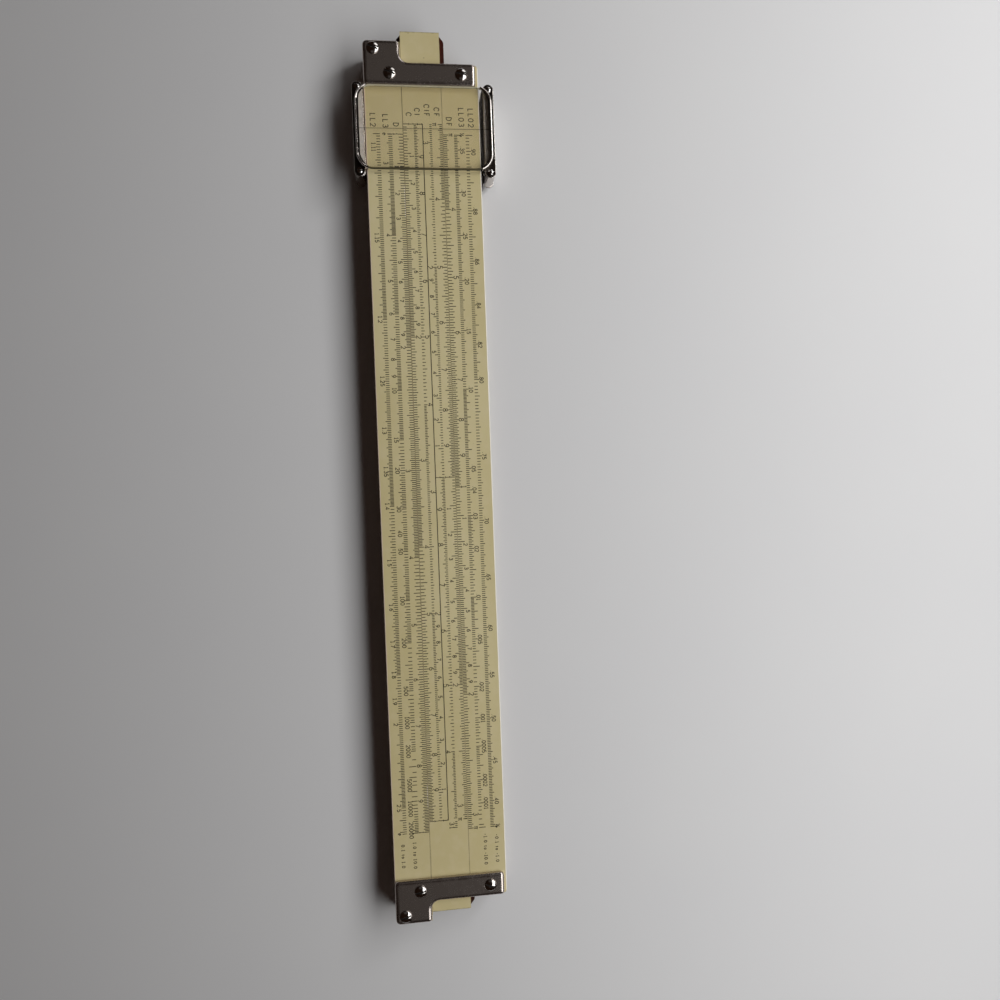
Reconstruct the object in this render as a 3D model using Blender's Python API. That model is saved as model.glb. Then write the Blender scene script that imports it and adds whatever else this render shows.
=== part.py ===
"""A ten inch duplex slide rule: a stock of two stators, a slide between them and a glass cursor.

X runs along the rule in reading direction, Y across it and Z up through its front face.
The slide and the cursor each hang on an empty that stands on the line they travel along.
All sizes are in metres.
"""

import math

import bmesh
import bpy
from mathutils import Vector

# Stators and slide
LOWER_LENGTH = 0.3150
LOWER_WIDTH = 0.0131
UPPER_WIDTH = 0.0133
UPPER_END_PAST_STRIP = 0.00005
SLIDE_LENGTH = 0.3157
SLIDE_WIDTH = 0.0139
SLIDE_OFFSET = -0.0034
SLIDE_LOWER_GAP = 0.0002
SLIDE_UPPER_GAP = 0.0001
STATOR_CORNER = 0.0013
CORE_THICKNESS = 0.0067
FACING_THICKNESS = 0.0009
FACING_CHAMFER = 0.0002
GLUE_GAP = 0.00005
SLIDE_FACE_DROP = 0.00005

# Tongues of the slide, which run in grooves of the stators
TONGUE_DEPTH = 0.0016
TONGUE_THICKNESS = 0.0044
TONGUE_CLEARANCE = 0.0002
TONGUE_SETBACK = 0.0001
TONGUE_TAPER = 0.0020
TONGUE_CORNER = 0.0015

# End plates, an L in plan: a foot on the lower stator and a strip across to the upper one
PLATE_THICKNESS = 0.0016
PLATE_GAP = 0.00005
PLATE_END_INSET = 0.0001
PLATE_EDGE_INSET = 0.00005
PLATE_SLIDE_INSET = 0.0001
PLATE_TIP_INSET = 0.0010
FOOT_LENGTH = 0.0157
STRIP_LENGTH = 0.0082
FOOT_CORNER = 0.0017
FOOT_INNER_CORNER = 0.0012
STRIP_CORNER = 0.0013
PLATE_FILLET = 0.0030
PLATE_EDGE_ROUND = 0.0008

# Screws of the end plates
PLATE_HEAD_RADIUS = 0.00205
PLATE_HEAD_HEIGHT = 0.0009
PLATE_SCREW_RADIUS = 0.0010
PLATE_SCREW_SHORTFALL = 0.0001
PLATE_HOLE_CLEARANCE = 0.0001
FOOT_SCREW_FROM_END = 0.00305
FOOT_SCREW_FROM_EDGE = 0.00355
STRIP_SCREW_FROM_SLIDE = 0.0038
STRIP_SCREW_FROM_INSIDE = 0.0041
TIP_SCREW_FROM_TIP = 0.0051

# Cursor: two glasses, four sheet metal frames, two rails and a leaf spring
GLASS_LENGTH = 0.0292
GLASS_THICKNESS = 0.0015
GLASS_CORNER = 0.0054
GLASS_CHAMFER = 0.00015
GLASS_GAP = 0.00005
CURSOR_REST_GAP = 0.00025
FLANGE_WIDTH = 0.00375
FLANGE_THICKNESS = 0.0005
FLANGE_GAP = 0.00005
FLANGE_OFFSET = 0.00035
RIM_LEDGE = 0.00095
RIM_WALL = 0.0004
RIM_REACH = 0.0029
RIM_ROUND = 0.00018
LIP_COVER = 0.00065
LIP_THICKNESS = 0.0003
RAIL_WIDTH = 0.00385
RAIL_GAP = 0.0003
RAIL_INSET = 0.00015
SPRING_SPACE = 0.00135
SPRING_HEIGHT = 0.0072
SPRING_THICKNESS = 0.00025
SPRING_CLEARANCE = 0.0001
SPRING_TAIL = 0.0014
SPRING_RETURN = 0.0022
SPRING_CURL = 0.00035

# Screws of the cursor
CURSOR_HEAD_RADIUS = 0.0010
CURSOR_HEAD_HEIGHT = 0.00055
CURSOR_SCREW_RADIUS = 0.00055
CURSOR_SCREW_GRIP = 0.0024
CURSOR_HOLE_CLEARANCE = 0.00008
CURSOR_SCREW_FROM_END = 0.0020
CURSOR_HEAD_TO_RIM = 0.00024

# What all screws share
HEAD_GAP = 0.00005
HEAD_RIM_SHARE = 0.25
SLOT_WIDTH_SHARE = 0.15
SLOT_DEPTH_SHARE = 0.55
PLATE_SLOT_DEGREES = (70, 72, 78, 105, 100, 72)
CURSOR_SLOT_DEGREES = (20, 75, 110, 48)

# How finely round shapes are divided, and how far helpers run past what they cut or join
SCREW_SEGMENTS = 16
DOME_STEPS = 3
CORNER_STEPS = 4
RIM_STEPS = 6
SPRING_STEPS = 12
CURL_STEPS = 6
SMOOTH_ANGLE = math.radians(35)
CUT_OVERRUN = 0.001
FUSE_OVERLAP = 0.0001
LEVEL_TOLERANCE = 0.000001

# Levels, measured up from the middle plane of the rule
CORE_HALF = CORE_THICKNESS / 2
BODY_HALF = CORE_HALF + GLUE_GAP + FACING_THICKNESS
SLIDE_CORE_HALF = CORE_HALF - SLIDE_FACE_DROP
PLATE_LOW = BODY_HALF + PLATE_GAP
PLATE_HIGH = PLATE_LOW + PLATE_THICKNESS
FLANGE_LOW = BODY_HALF + FLANGE_GAP
FLANGE_HIGH = FLANGE_LOW + FLANGE_THICKNESS
GLASS_LOW = FLANGE_HIGH + GLASS_GAP
GLASS_HIGH = GLASS_LOW + GLASS_THICKNESS
LIP_LOW = GLASS_HIGH + GLASS_GAP
LIP_HIGH = LIP_LOW + LIP_THICKNESS

# Places across the rule, measured from the middle of the stock
EDGE = (LOWER_WIDTH + SLIDE_LOWER_GAP + SLIDE_WIDTH + SLIDE_UPPER_GAP + UPPER_WIDTH) / 2
LOWER_INNER = -EDGE + LOWER_WIDTH
UPPER_INNER = EDGE - UPPER_WIDTH
SLIDE_MIDDLE = LOWER_INNER + SLIDE_LOWER_GAP + SLIDE_WIDTH / 2
GROOVE_DEPTH = TONGUE_DEPTH + TONGUE_CLEARANCE - SLIDE_UPPER_GAP
GROOVE_HALF = TONGUE_THICKNESS / 2 + TONGUE_CLEARANCE
PLATE_BOTTOM = -EDGE + PLATE_EDGE_INSET
FOOT_TOP = LOWER_INNER - PLATE_SLIDE_INSET
PLATE_TIP = EDGE - PLATE_TIP_INSET
LOWER_OVERHANG = RAIL_GAP + RAIL_WIDTH + RAIL_INSET
UPPER_OVERHANG = SPRING_SPACE + RAIL_WIDTH + RAIL_INSET
RAIL_TO_RIM = RIM_LEDGE + RIM_WALL + GLASS_GAP

# Places along the rule, measured from the middle of the stock
FOOT_END = LOWER_LENGTH / 2 - PLATE_END_INSET
PLATE_INSIDE = FOOT_END - FOOT_LENGTH
STRIP_END = PLATE_INSIDE + STRIP_LENGTH
UPPER_LENGTH = 2 * (STRIP_END + UPPER_END_PAST_STRIP)
CURSOR_MIDDLE = -PLATE_INSIDE + CURSOR_REST_GAP + GLASS_LENGTH / 2

# The cursor's left screws clear the rim round the glass's corner, and its right ones mirror them
# across the middle of the flanges. Each is measured from there.
HEAD_ORBIT = GLASS_CORNER + GLASS_GAP + RIM_WALL + CURSOR_HEAD_TO_RIM + CURSOR_HEAD_RADIUS
HEAD_RISE = GLASS_CORNER + RAIL_TO_RIM - FLANGE_WIDTH / 2
HEAD_PAST_CORNER = math.sqrt(HEAD_ORBIT ** 2 - HEAD_RISE ** 2)
SCREW_REACH = GLASS_LENGTH / 2 - GLASS_CORNER + HEAD_PAST_CORNER + FLANGE_OFFSET
FLANGE_HALF = SCREW_REACH + CURSOR_SCREW_FROM_END
RAIL_HALF = FLANGE_HALF - RAIL_INSET

# The middle of the stock in the part's frame, whose origin is the bottom centre of the whole rule
LEFT_REACH = SLIDE_LENGTH / 2 - SLIDE_OFFSET
RIGHT_REACH = LOWER_LENGTH / 2
STOCK_MIDDLE = Vector(((LEFT_REACH - RIGHT_REACH) / 2, (LOWER_OVERHANG - UPPER_OVERHANG) / 2, LIP_HIGH))

ENDS = {"left": -1, "right": 1}
EDGES = {"lower": -1, "upper": 1}
FACES = {"front": 1, "back": -1}
OVERHANGS = {"lower": LOWER_OVERHANG, "upper": UPPER_OVERHANG}

# Colour, roughness and metallic value of each kind of material
LOOKS = {
    "mahogany": ((0.09, 0.03, 0.015), 0.55, 0.0),
    "celluloid": ((0.62, 0.55, 0.36), 0.35, 0.0),
    "steel": ((0.32, 0.31, 0.30), 0.35, 1.0),
    "chrome": ((0.65, 0.64, 0.62), 0.12, 1.0),
    "glass": ((0.92, 0.95, 0.90), 0.05, 0.0),
    "spring_steel": ((0.30, 0.29, 0.28), 0.30, 1.0),
}


def clear_scene():
    for old in list(bpy.data.objects):
        bpy.data.objects.remove(old)


def material(name, look):
    colour, roughness, metallic = LOOKS[look]
    made = bpy.data.materials.new(name)
    made.use_nodes = True
    shader = made.node_tree.nodes["Principled BSDF"]
    shader.inputs["Base Color"].default_value = (*colour, 1)
    shader.inputs["Roughness"].default_value = roughness
    shader.inputs["Metallic"].default_value = metallic
    shader.inputs["Transmission Weight"].default_value = 1 if look == "glass" else 0
    return made


def frame_at(name, place, parent=None):
    """An empty that carries one moving group."""
    made = bpy.data.objects.new(name, None)
    made.empty_display_size = EDGE
    made.location = place
    made.parent = parent
    bpy.context.scene.collection.objects.link(made)
    return made


def linked(name, shape, parent):
    data = bpy.data.meshes.new(name)
    shape.to_mesh(data)
    shape.free()
    made = bpy.data.objects.new(name, data)
    made.parent = parent
    bpy.context.scene.collection.objects.link(made)
    return made


def piece(name, shape, look, parent):
    """A sub-part of the rule with its own material, smooth on its round faces."""
    made = linked(name, shape, parent)
    made.data.shade_smooth()
    made.data.set_sharp_from_angle(angle=SMOOTH_ANGLE)
    made.data.materials.append(material(name, look))
    return made


def helper(name, shape, parent):
    """A shape that only cuts or joins others."""
    made = linked(name, shape, parent)
    made.hide_render = True
    made.display_type = "WIRE"
    return made


def combine(target, operation, tool):
    modifier = target.modifiers.new(f"{operation.lower()} {tool.name}", "BOOLEAN")
    modifier.object = tool
    modifier.operation = operation
    modifier.solver = "EXACT"


def upright(a, b, level):
    return Vector((a, b, level))


def lengthwise(a, b, level):
    return Vector((level, a, b))


def extruded(outline, low, high, place=upright):
    """A closed solid: an outline drawn in one plane and carried from low to high across it."""
    shape = bmesh.new()
    ends = [[shape.verts.new(place(a, b, level)) for a, b in outline] for level in (low, high)]
    for end in ends:
        shape.faces.new(end)
    for here in range(len(outline)):
        there = (here + 1) % len(outline)
        shape.faces.new((ends[0][here], ends[0][there], ends[1][there], ends[1][here]))
    bmesh.ops.recalc_face_normals(shape, faces=shape.faces)
    return shape


def rounded(corners, steps=CORNER_STEPS):
    """An outline from corners (x, y, radius), each left sharp or rounded by an arc."""
    outline = []
    for index, (x, y, radius) in enumerate(corners):
        corner = Vector((x, y))
        if not radius:
            outline.append(corner)
            continue
        before = (Vector(corners[index - 1][:2]) - corner).normalized()
        after = (Vector(corners[(index + 1) % len(corners)][:2]) - corner).normalized()
        half = before.angle(after) / 2
        centre = corner + (before + after).normalized() * radius / math.sin(half)
        start = corner + before * radius / math.tan(half) - centre
        end = corner + after * radius / math.tan(half) - centre
        turn = -start.angle_signed(end)
        for step in range(steps + 1):
            across = math.atan2(start.y, start.x) + turn * step / steps
            outline.append(centre + radius * Vector((math.cos(across), math.sin(across))))
    return [point for index, point in enumerate(outline)
            if (point - outline[index - 1]).length > LEVEL_TOLERANCE]


def box_outline(left, right, bottom, top, radius=0, steps=CORNER_STEPS):
    corners = ((left, bottom), (right, bottom), (right, top), (left, top))
    return rounded([(x, y, radius) for x, y in corners], steps)


def turned(profile, centres=((0, 0),)):
    """Solids of revolution about Z, one at each centre, from (radius, height) points.

    The profile starts and ends on the axis.
    """
    shape = bmesh.new()
    for x, y in centres:
        rings = []
        for radius, height in profile:
            count = SCREW_SEGMENTS if radius else 1
            turns = [2 * math.pi * index / SCREW_SEGMENTS for index in range(count)]
            ring = [(x + radius * math.cos(turn), y + radius * math.sin(turn), height) for turn in turns]
            rings.append([shape.verts.new(place) for place in ring])
        for below, above in zip(rings, rings[1:]):
            for here in range(SCREW_SEGMENTS):
                there = (here + 1) % SCREW_SEGMENTS
                if len(below) == 1:
                    shape.faces.new((below[0], above[there], above[here]))
                elif len(above) == 1:
                    shape.faces.new((below[here], below[there], above[0]))
                else:
                    shape.faces.new((below[here], below[there], above[there], above[here]))
    bmesh.ops.recalc_face_normals(shape, faces=shape.faces)
    return shape


def swept(path, profile):
    """A profile of (outward, height) points carried along a level path of (point, outward) pairs."""
    shape = bmesh.new()
    rings = []
    for point, outward in path:
        rings.append([shape.verts.new((*(point + outward * out), height)) for out, height in profile])
    for near, far in zip(rings, rings[1:]):
        for here in range(len(profile)):
            there = (here + 1) % len(profile)
            shape.faces.new((near[here], near[there], far[there], far[here]))
    shape.faces.new(rings[0])
    shape.faces.new(rings[-1])
    bmesh.ops.recalc_face_normals(shape, faces=shape.faces)
    return shape


def soften(shape, level, radius, segments):
    """Rounds or chamfers the edges that run round a solid at one level."""
    edges = [edge for edge in shape.edges
             if all(abs(end.co.z - level) < LEVEL_TOLERANCE for end in edge.verts)]
    bmesh.ops.bevel(shape, geom=edges, offset=radius, segments=segments, profile=0.5, affect="EDGES")


def holes(name, centres, radius, parent):
    """Rods that reach through the whole rule, to cut the holes of its screws."""
    reach = LIP_HIGH + CUT_OVERRUN
    profile = [(0, -reach), (radius, -reach), (radius, reach), (0, reach)]
    return helper(name, turned(profile, centres), parent)


def screw(name, parent, place, degrees, face, head_radius, head_height, radius, length):
    """A slotted screw with a domed head, whose seat is at its origin."""
    rim = HEAD_GAP + HEAD_RIM_SHARE * head_height
    top = HEAD_GAP + head_height
    profile = [(0, -length), (radius, -length), (radius, HEAD_GAP), (head_radius, HEAD_GAP)]
    for step in range(DOME_STEPS):
        slope = math.pi / 2 * step / DOME_STEPS
        profile.append((head_radius * math.cos(slope), rim + (top - rim) * math.sin(slope)))
    profile.append((0, top))
    made = piece(name, turned(profile), "chrome", parent)
    made.location = place
    made.rotation_euler = (0 if face > 0 else math.pi, 0, math.radians(degrees))
    half_length, half_width = head_radius + CUT_OVERRUN, head_radius * SLOT_WIDTH_SHARE
    outline = box_outline(-half_length, half_length, -half_width, half_width)
    bottom = top - SLOT_DEPTH_SHARE * head_height
    slot = helper(f"{name}_slot", extruded(outline, bottom, top + CUT_OVERRUN), made)
    combine(made, "DIFFERENCE", slot)


def facing_profile(outer, inner, low, high, face):
    """A facing's section, with a small chamfer along the outer edge of its face."""
    inwards = math.copysign(FACING_CHAMFER, inner - outer)
    points = [(inner, low), (inner, high), (outer + inwards, high),
              (outer, high - FACING_CHAMFER), (outer, low)]
    return [(y, face * z) for y, z in points]


def bar(name, section, length, look, parent):
    """A straight piece of one section, centred on its parent along the rule."""
    return piece(name, extruded(section, -length / 2, length / 2, lengthwise), look, parent)


def make_stator(edge, length, inner, stock, cutter):
    """A wooden core, grooved for the slide's tongue, and its front and back facings."""
    side = EDGES[edge]
    outer = side * EDGE
    half, reach = length / 2, BODY_HALF + CUT_OVERRUN
    plan = rounded([(-half, inner, 0), (half, inner, 0),
                    (half, outer, STATOR_CORNER), (-half, outer, STATOR_CORNER)])
    corners = helper(f"{edge}_stator_plan", extruded(plan, -reach, reach), stock)
    bottom = inner + side * GROOVE_DEPTH
    section = [(outer, -CORE_HALF), (inner, -CORE_HALF), (inner, -GROOVE_HALF), (bottom, -GROOVE_HALF),
               (bottom, GROOVE_HALF), (inner, GROOVE_HALF), (inner, CORE_HALF), (outer, CORE_HALF)]
    core = bar(f"{edge}_stator_core", section, length, "mahogany", stock)
    combine(core, "INTERSECT", corners)
    combine(core, "DIFFERENCE", cutter)
    for name, face in FACES.items():
        section = facing_profile(outer, inner, CORE_HALF + GLUE_GAP, BODY_HALF, face)
        facing = bar(f"{edge}_stator_{name}_facing", section, length, "celluloid", stock)
        combine(facing, "INTERSECT", corners)
        combine(facing, "DIFFERENCE", cutter)


def make_slide(slide):
    """A wooden core with a tongue along each edge, and its front and back facings."""
    half = SLIDE_WIDTH / 2
    section = box_outline(-half, half, -SLIDE_CORE_HALF, SLIDE_CORE_HALF)
    core = bar("slide_core", section, SLIDE_LENGTH, "mahogany", slide)
    root = SLIDE_LENGTH / 2 - TONGUE_SETBACK
    full = root - TONGUE_TAPER
    tip = half + TONGUE_DEPTH
    corners = [(-root, -half, 0), (-full, -tip, TONGUE_CORNER),
               (full, -tip, TONGUE_CORNER), (root, -half, 0),
               (root, half, 0), (full, tip, TONGUE_CORNER),
               (-full, tip, TONGUE_CORNER), (-root, half, 0)]
    tongues = extruded(rounded(corners), -TONGUE_THICKNESS / 2, TONGUE_THICKNESS / 2)
    combine(core, "UNION", helper("slide_tongues", tongues, slide))
    for name, face in FACES.items():
        low = SLIDE_CORE_HALF + GLUE_GAP
        section = box_outline(-half, half, face * low, face * (low + FACING_THICKNESS))
        bar(f"slide_{name}_facing", section, SLIDE_LENGTH, "celluloid", slide)


def make_end_plate(face_name, end_name, stock, cutter):
    """An L-shaped plate with a rounded outer rim, which ties the two stators together."""
    face, end = FACES[face_name], ENDS[end_name]
    corners = [(PLATE_INSIDE, PLATE_BOTTOM, FOOT_CORNER), (FOOT_END, PLATE_BOTTOM, FOOT_CORNER),
               (FOOT_END, FOOT_TOP, FOOT_INNER_CORNER), (STRIP_END, FOOT_TOP, PLATE_FILLET),
               (STRIP_END, PLATE_TIP, STRIP_CORNER), (PLATE_INSIDE, PLATE_TIP, STRIP_CORNER)]
    outline = rounded([(end * x, y, radius) for x, y, radius in corners])
    shape = extruded(outline, face * PLATE_LOW, face * PLATE_HIGH)
    soften(shape, face * PLATE_HIGH, PLATE_EDGE_ROUND, 2)
    plate = piece(f"{face_name}_{end_name}_end_plate", shape, "steel", stock)
    combine(plate, "DIFFERENCE", cutter)


def plate_screw_places():
    """Each end plate screw's name and place: at the foot's end, at the strip's root and near its tip."""
    across = PLATE_INSIDE + STRIP_SCREW_FROM_INSIDE
    for name, end in ENDS.items():
        foot = end * (FOOT_END - FOOT_SCREW_FROM_END)
        yield f"{name}_foot_screw", (foot, PLATE_BOTTOM + FOOT_SCREW_FROM_EDGE)
        yield f"{name}_strip_screw", (end * across, FOOT_TOP - STRIP_SCREW_FROM_SLIDE)
        yield f"{name}_tip_screw", (end * across, PLATE_TIP - TIP_SCREW_FROM_TIP)


def make_stock(stock):
    places = dict(plate_screw_places())
    radius = PLATE_SCREW_RADIUS + PLATE_HOLE_CLEARANCE
    cutter = holes("plate_screw_holes", places.values(), radius, stock)
    make_stator("lower", LOWER_LENGTH, LOWER_INNER, stock, cutter)
    make_stator("upper", UPPER_LENGTH, UPPER_INNER, stock, cutter)
    for face_name in FACES:
        for end_name in ENDS:
            make_end_plate(face_name, end_name, stock, cutter)
    length = 2 * PLATE_HIGH - PLATE_SCREW_SHORTFALL
    for (name, (x, y)), degrees in zip(places.items(), PLATE_SLOT_DEGREES):
        screw(name, stock, (x, y, PLATE_HIGH), degrees, 1,
              PLATE_HEAD_RADIUS, PLATE_HEAD_HEIGHT, PLATE_SCREW_RADIUS, length)


def glass_edge(edge):
    """Where the glass ends across the rule, at one edge."""
    return EDGES[edge] * (EDGE + OVERHANGS[edge] - RAIL_TO_RIM)


def rim_path(edge):
    """The stretch of the glass's outline that a frame's rim follows: one end with its two corners."""
    side = EDGES[edge]
    first = math.asin(1 - RIM_REACH / GLASS_CORNER)
    rises = [first + (math.pi / 2 - first) * step / RIM_STEPS for step in range(RIM_STEPS + 1)]
    path = []
    for end, angles in ((-1, rises), (1, rises[::-1])):
        centre = Vector((end * (GLASS_LENGTH / 2 - GLASS_CORNER), glass_edge(edge) - side * GLASS_CORNER))
        for angle in angles:
            outward = Vector((end * math.cos(angle), side * math.sin(angle)))
            path.append((centre + outward * GLASS_CORNER, outward))
    return path


def make_frame(face_name, edge, cursor, cutter):
    """One piece of sheet metal: a flange with round ends, and a rim whose lip holds the glass down."""
    face, side = FACES[face_name], EDGES[edge]
    outer = side * (EDGE + OVERHANGS[edge])
    outline = box_outline(FLANGE_OFFSET - FLANGE_HALF, FLANGE_OFFSET + FLANGE_HALF,
                          outer, outer - side * FLANGE_WIDTH, FLANGE_WIDTH / 2)
    flange = extruded(outline, face * FLANGE_LOW, face * FLANGE_HIGH)
    outside = GLASS_GAP + RIM_WALL
    base = FLANGE_HIGH - FUSE_OVERLAP
    section = [(GLASS_GAP, base), (outside, base), (outside, LIP_HIGH - RIM_ROUND),
               (outside - RIM_ROUND, LIP_HIGH), (-LIP_COVER, LIP_HIGH), (-LIP_COVER, LIP_LOW),
               (GLASS_GAP, LIP_LOW)]
    rim = swept(rim_path(edge), [(out, face * height) for out, height in section])
    frame = piece(f"cursor_{face_name}_{edge}_frame", flange, "chrome", cursor)
    combine(frame, "UNION", helper(f"{face_name}_{edge}_rim", rim, cursor))
    combine(frame, "DIFFERENCE", cutter)


def make_rail(edge, cursor, cutter):
    """A bar with round ends between the front and back flanges, beside the stock."""
    side = EDGES[edge]
    outer = side * (EDGE + OVERHANGS[edge] - RAIL_INSET)
    outline = box_outline(FLANGE_OFFSET - RAIL_HALF, FLANGE_OFFSET + RAIL_HALF,
                          outer, outer - side * RAIL_WIDTH, RAIL_WIDTH / 2)
    rail = piece(f"cursor_{edge}_rail", extruded(outline, -BODY_HALF, BODY_HALF), "chrome", cursor)
    combine(rail, "DIFFERENCE", cutter)


def spring_line():
    """The leaf spring's middle line in plan: bowed in to the stock's edge, with one tail folded back."""
    high = EDGE + SPRING_SPACE - SPRING_CLEARANCE - SPRING_THICKNESS / 2
    bow = high - (EDGE + SPRING_CLEARANCE + SPRING_THICKNESS / 2)
    half = RAIL_HALF - RAIL_WIDTH / 2
    line = []
    for step in range(SPRING_STEPS + 1):
        along = 2 * step / SPRING_STEPS - 1
        sag = bow * (1 + math.cos(math.pi * along)) / 2
        line.append(Vector((FLANGE_OFFSET + half * along, high - sag)))
    centre = Vector((FLANGE_OFFSET + RAIL_HALF + SPRING_TAIL, high - SPRING_CURL))
    for step in range(CURL_STEPS + 1):
        angle = math.pi / 2 - math.pi * step / CURL_STEPS
        line.append(centre + SPRING_CURL * Vector((math.cos(angle), math.sin(angle))))
    line.append(line[-1] - Vector((SPRING_RETURN, 0)))
    return line


def make_spring(cursor):
    line = spring_line()
    sides = {1: [], -1: []}
    for index, point in enumerate(line):
        along = line[min(index + 1, len(line) - 1)] - line[max(index - 1, 0)]
        across = Vector((-along.y, along.x)).normalized() * SPRING_THICKNESS / 2
        for sign, points in sides.items():
            points.append(point + sign * across)
    outline = sides[1] + sides[-1][::-1]
    shape = extruded(outline, -SPRING_HEIGHT / 2, SPRING_HEIGHT / 2)
    piece("cursor_spring", shape, "spring_steel", cursor)


def make_cursor(cursor):
    places = {}
    for edge, side in EDGES.items():
        y = side * (EDGE + OVERHANGS[edge] - FLANGE_WIDTH / 2)
        for name, end in ENDS.items():
            places[f"{edge}_{name}"] = (FLANGE_OFFSET + end * SCREW_REACH, y)
    radius = CURSOR_SCREW_RADIUS + CURSOR_HOLE_CLEARANCE
    cutter = holes("cursor_screw_holes", places.values(), radius, cursor)
    pane = box_outline(-GLASS_LENGTH / 2, GLASS_LENGTH / 2, glass_edge("lower"), glass_edge("upper"),
                       GLASS_CORNER, RIM_STEPS)
    for face_name, face in FACES.items():
        shape = extruded(pane, face * GLASS_LOW, face * GLASS_HIGH)
        soften(shape, face * GLASS_LOW, GLASS_CHAMFER, 1)
        soften(shape, face * GLASS_HIGH, GLASS_CHAMFER, 1)
        piece(f"cursor_{face_name}_glass", shape, "glass", cursor)
        for edge in EDGES:
            make_frame(face_name, edge, cursor, cutter)
        for (name, (x, y)), degrees in zip(places.items(), CURSOR_SLOT_DEGREES):
            screw(f"cursor_{face_name}_{name}_screw", cursor, (x, y, face * FLANGE_HIGH), degrees, face,
                  CURSOR_HEAD_RADIUS, CURSOR_HEAD_HEIGHT, CURSOR_SCREW_RADIUS,
                  FLANGE_THICKNESS + FLANGE_GAP + CURSOR_SCREW_GRIP)
    for edge in EDGES:
        make_rail(edge, cursor, cutter)
    make_spring(cursor)


def main():
    clear_scene()
    stock = frame_at("stock_frame", STOCK_MIDDLE)
    slide = frame_at("slide_frame", Vector((SLIDE_OFFSET, SLIDE_MIDDLE, 0)), stock)
    cursor = frame_at("cursor_frame", Vector((CURSOR_MIDDLE, 0, 0)), stock)
    make_stock(stock)
    make_slide(slide)
    make_cursor(cursor)


main()
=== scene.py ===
import math
from collections import namedtuple

import bmesh
import bpy
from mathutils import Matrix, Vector


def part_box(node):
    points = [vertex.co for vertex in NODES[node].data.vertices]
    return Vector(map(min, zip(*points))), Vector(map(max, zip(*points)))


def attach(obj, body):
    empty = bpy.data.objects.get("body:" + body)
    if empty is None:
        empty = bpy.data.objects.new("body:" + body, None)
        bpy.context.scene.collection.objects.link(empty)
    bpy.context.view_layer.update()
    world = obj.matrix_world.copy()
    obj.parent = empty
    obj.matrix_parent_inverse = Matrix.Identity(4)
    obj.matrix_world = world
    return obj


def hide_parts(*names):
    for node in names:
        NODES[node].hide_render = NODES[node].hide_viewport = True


# The looks of a ten inch duplex slide rule. Lengths are in millimetres unless a name says otherwise,
# and MM turns them into the frame's metres. X runs along the rule, Y across it, Z up. The rule lies on
# its back, so rise is 1 for what belongs to the front and -1 for the back.
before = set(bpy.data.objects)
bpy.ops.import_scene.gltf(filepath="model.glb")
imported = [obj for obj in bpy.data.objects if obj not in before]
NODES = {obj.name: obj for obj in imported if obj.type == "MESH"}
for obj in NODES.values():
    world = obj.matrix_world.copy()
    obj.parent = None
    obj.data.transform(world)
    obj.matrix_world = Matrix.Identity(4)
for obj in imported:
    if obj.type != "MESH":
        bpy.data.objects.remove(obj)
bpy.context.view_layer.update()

MM = 0.001
FRONT_AND_BACK = (("front", 1), ("back", -1))
LOWER_AND_UPPER = (("lower", -1), ("upper", 1))


def box(node):
    """Lowest and highest corner of a CAD node at rest."""
    low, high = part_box(node)
    return low / MM, high / MM


def new_object(name, data):
    made = bpy.data.objects.new(name, data)
    bpy.context.scene.collection.objects.link(made)
    return made


# Camera
PICTURE_SIDE = 1000
FOCAL_PIXELS = 751
SENSOR = 36
CAMERA_PLACE = Vector((2.718, -9.516, 282.027))
CAMERA_DEGREES = (-0.8661, -6.7421, 87.9318)
CLIP_METRES = (0.01, 20)

camera = new_object("camera", bpy.data.cameras.new("camera"))
camera.data.sensor_width = SENSOR
camera.data.lens = SENSOR * FOCAL_PIXELS / PICTURE_SIDE
camera.data.clip_start, camera.data.clip_end = CLIP_METRES
camera.location = CAMERA_PLACE * MM
camera.rotation_euler = [math.radians(angle) for angle in CAMERA_DEGREES]
bpy.context.scene.camera = camera
bpy.context.scene.view_settings.view_transform = "Standard"


# Node materials

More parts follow.
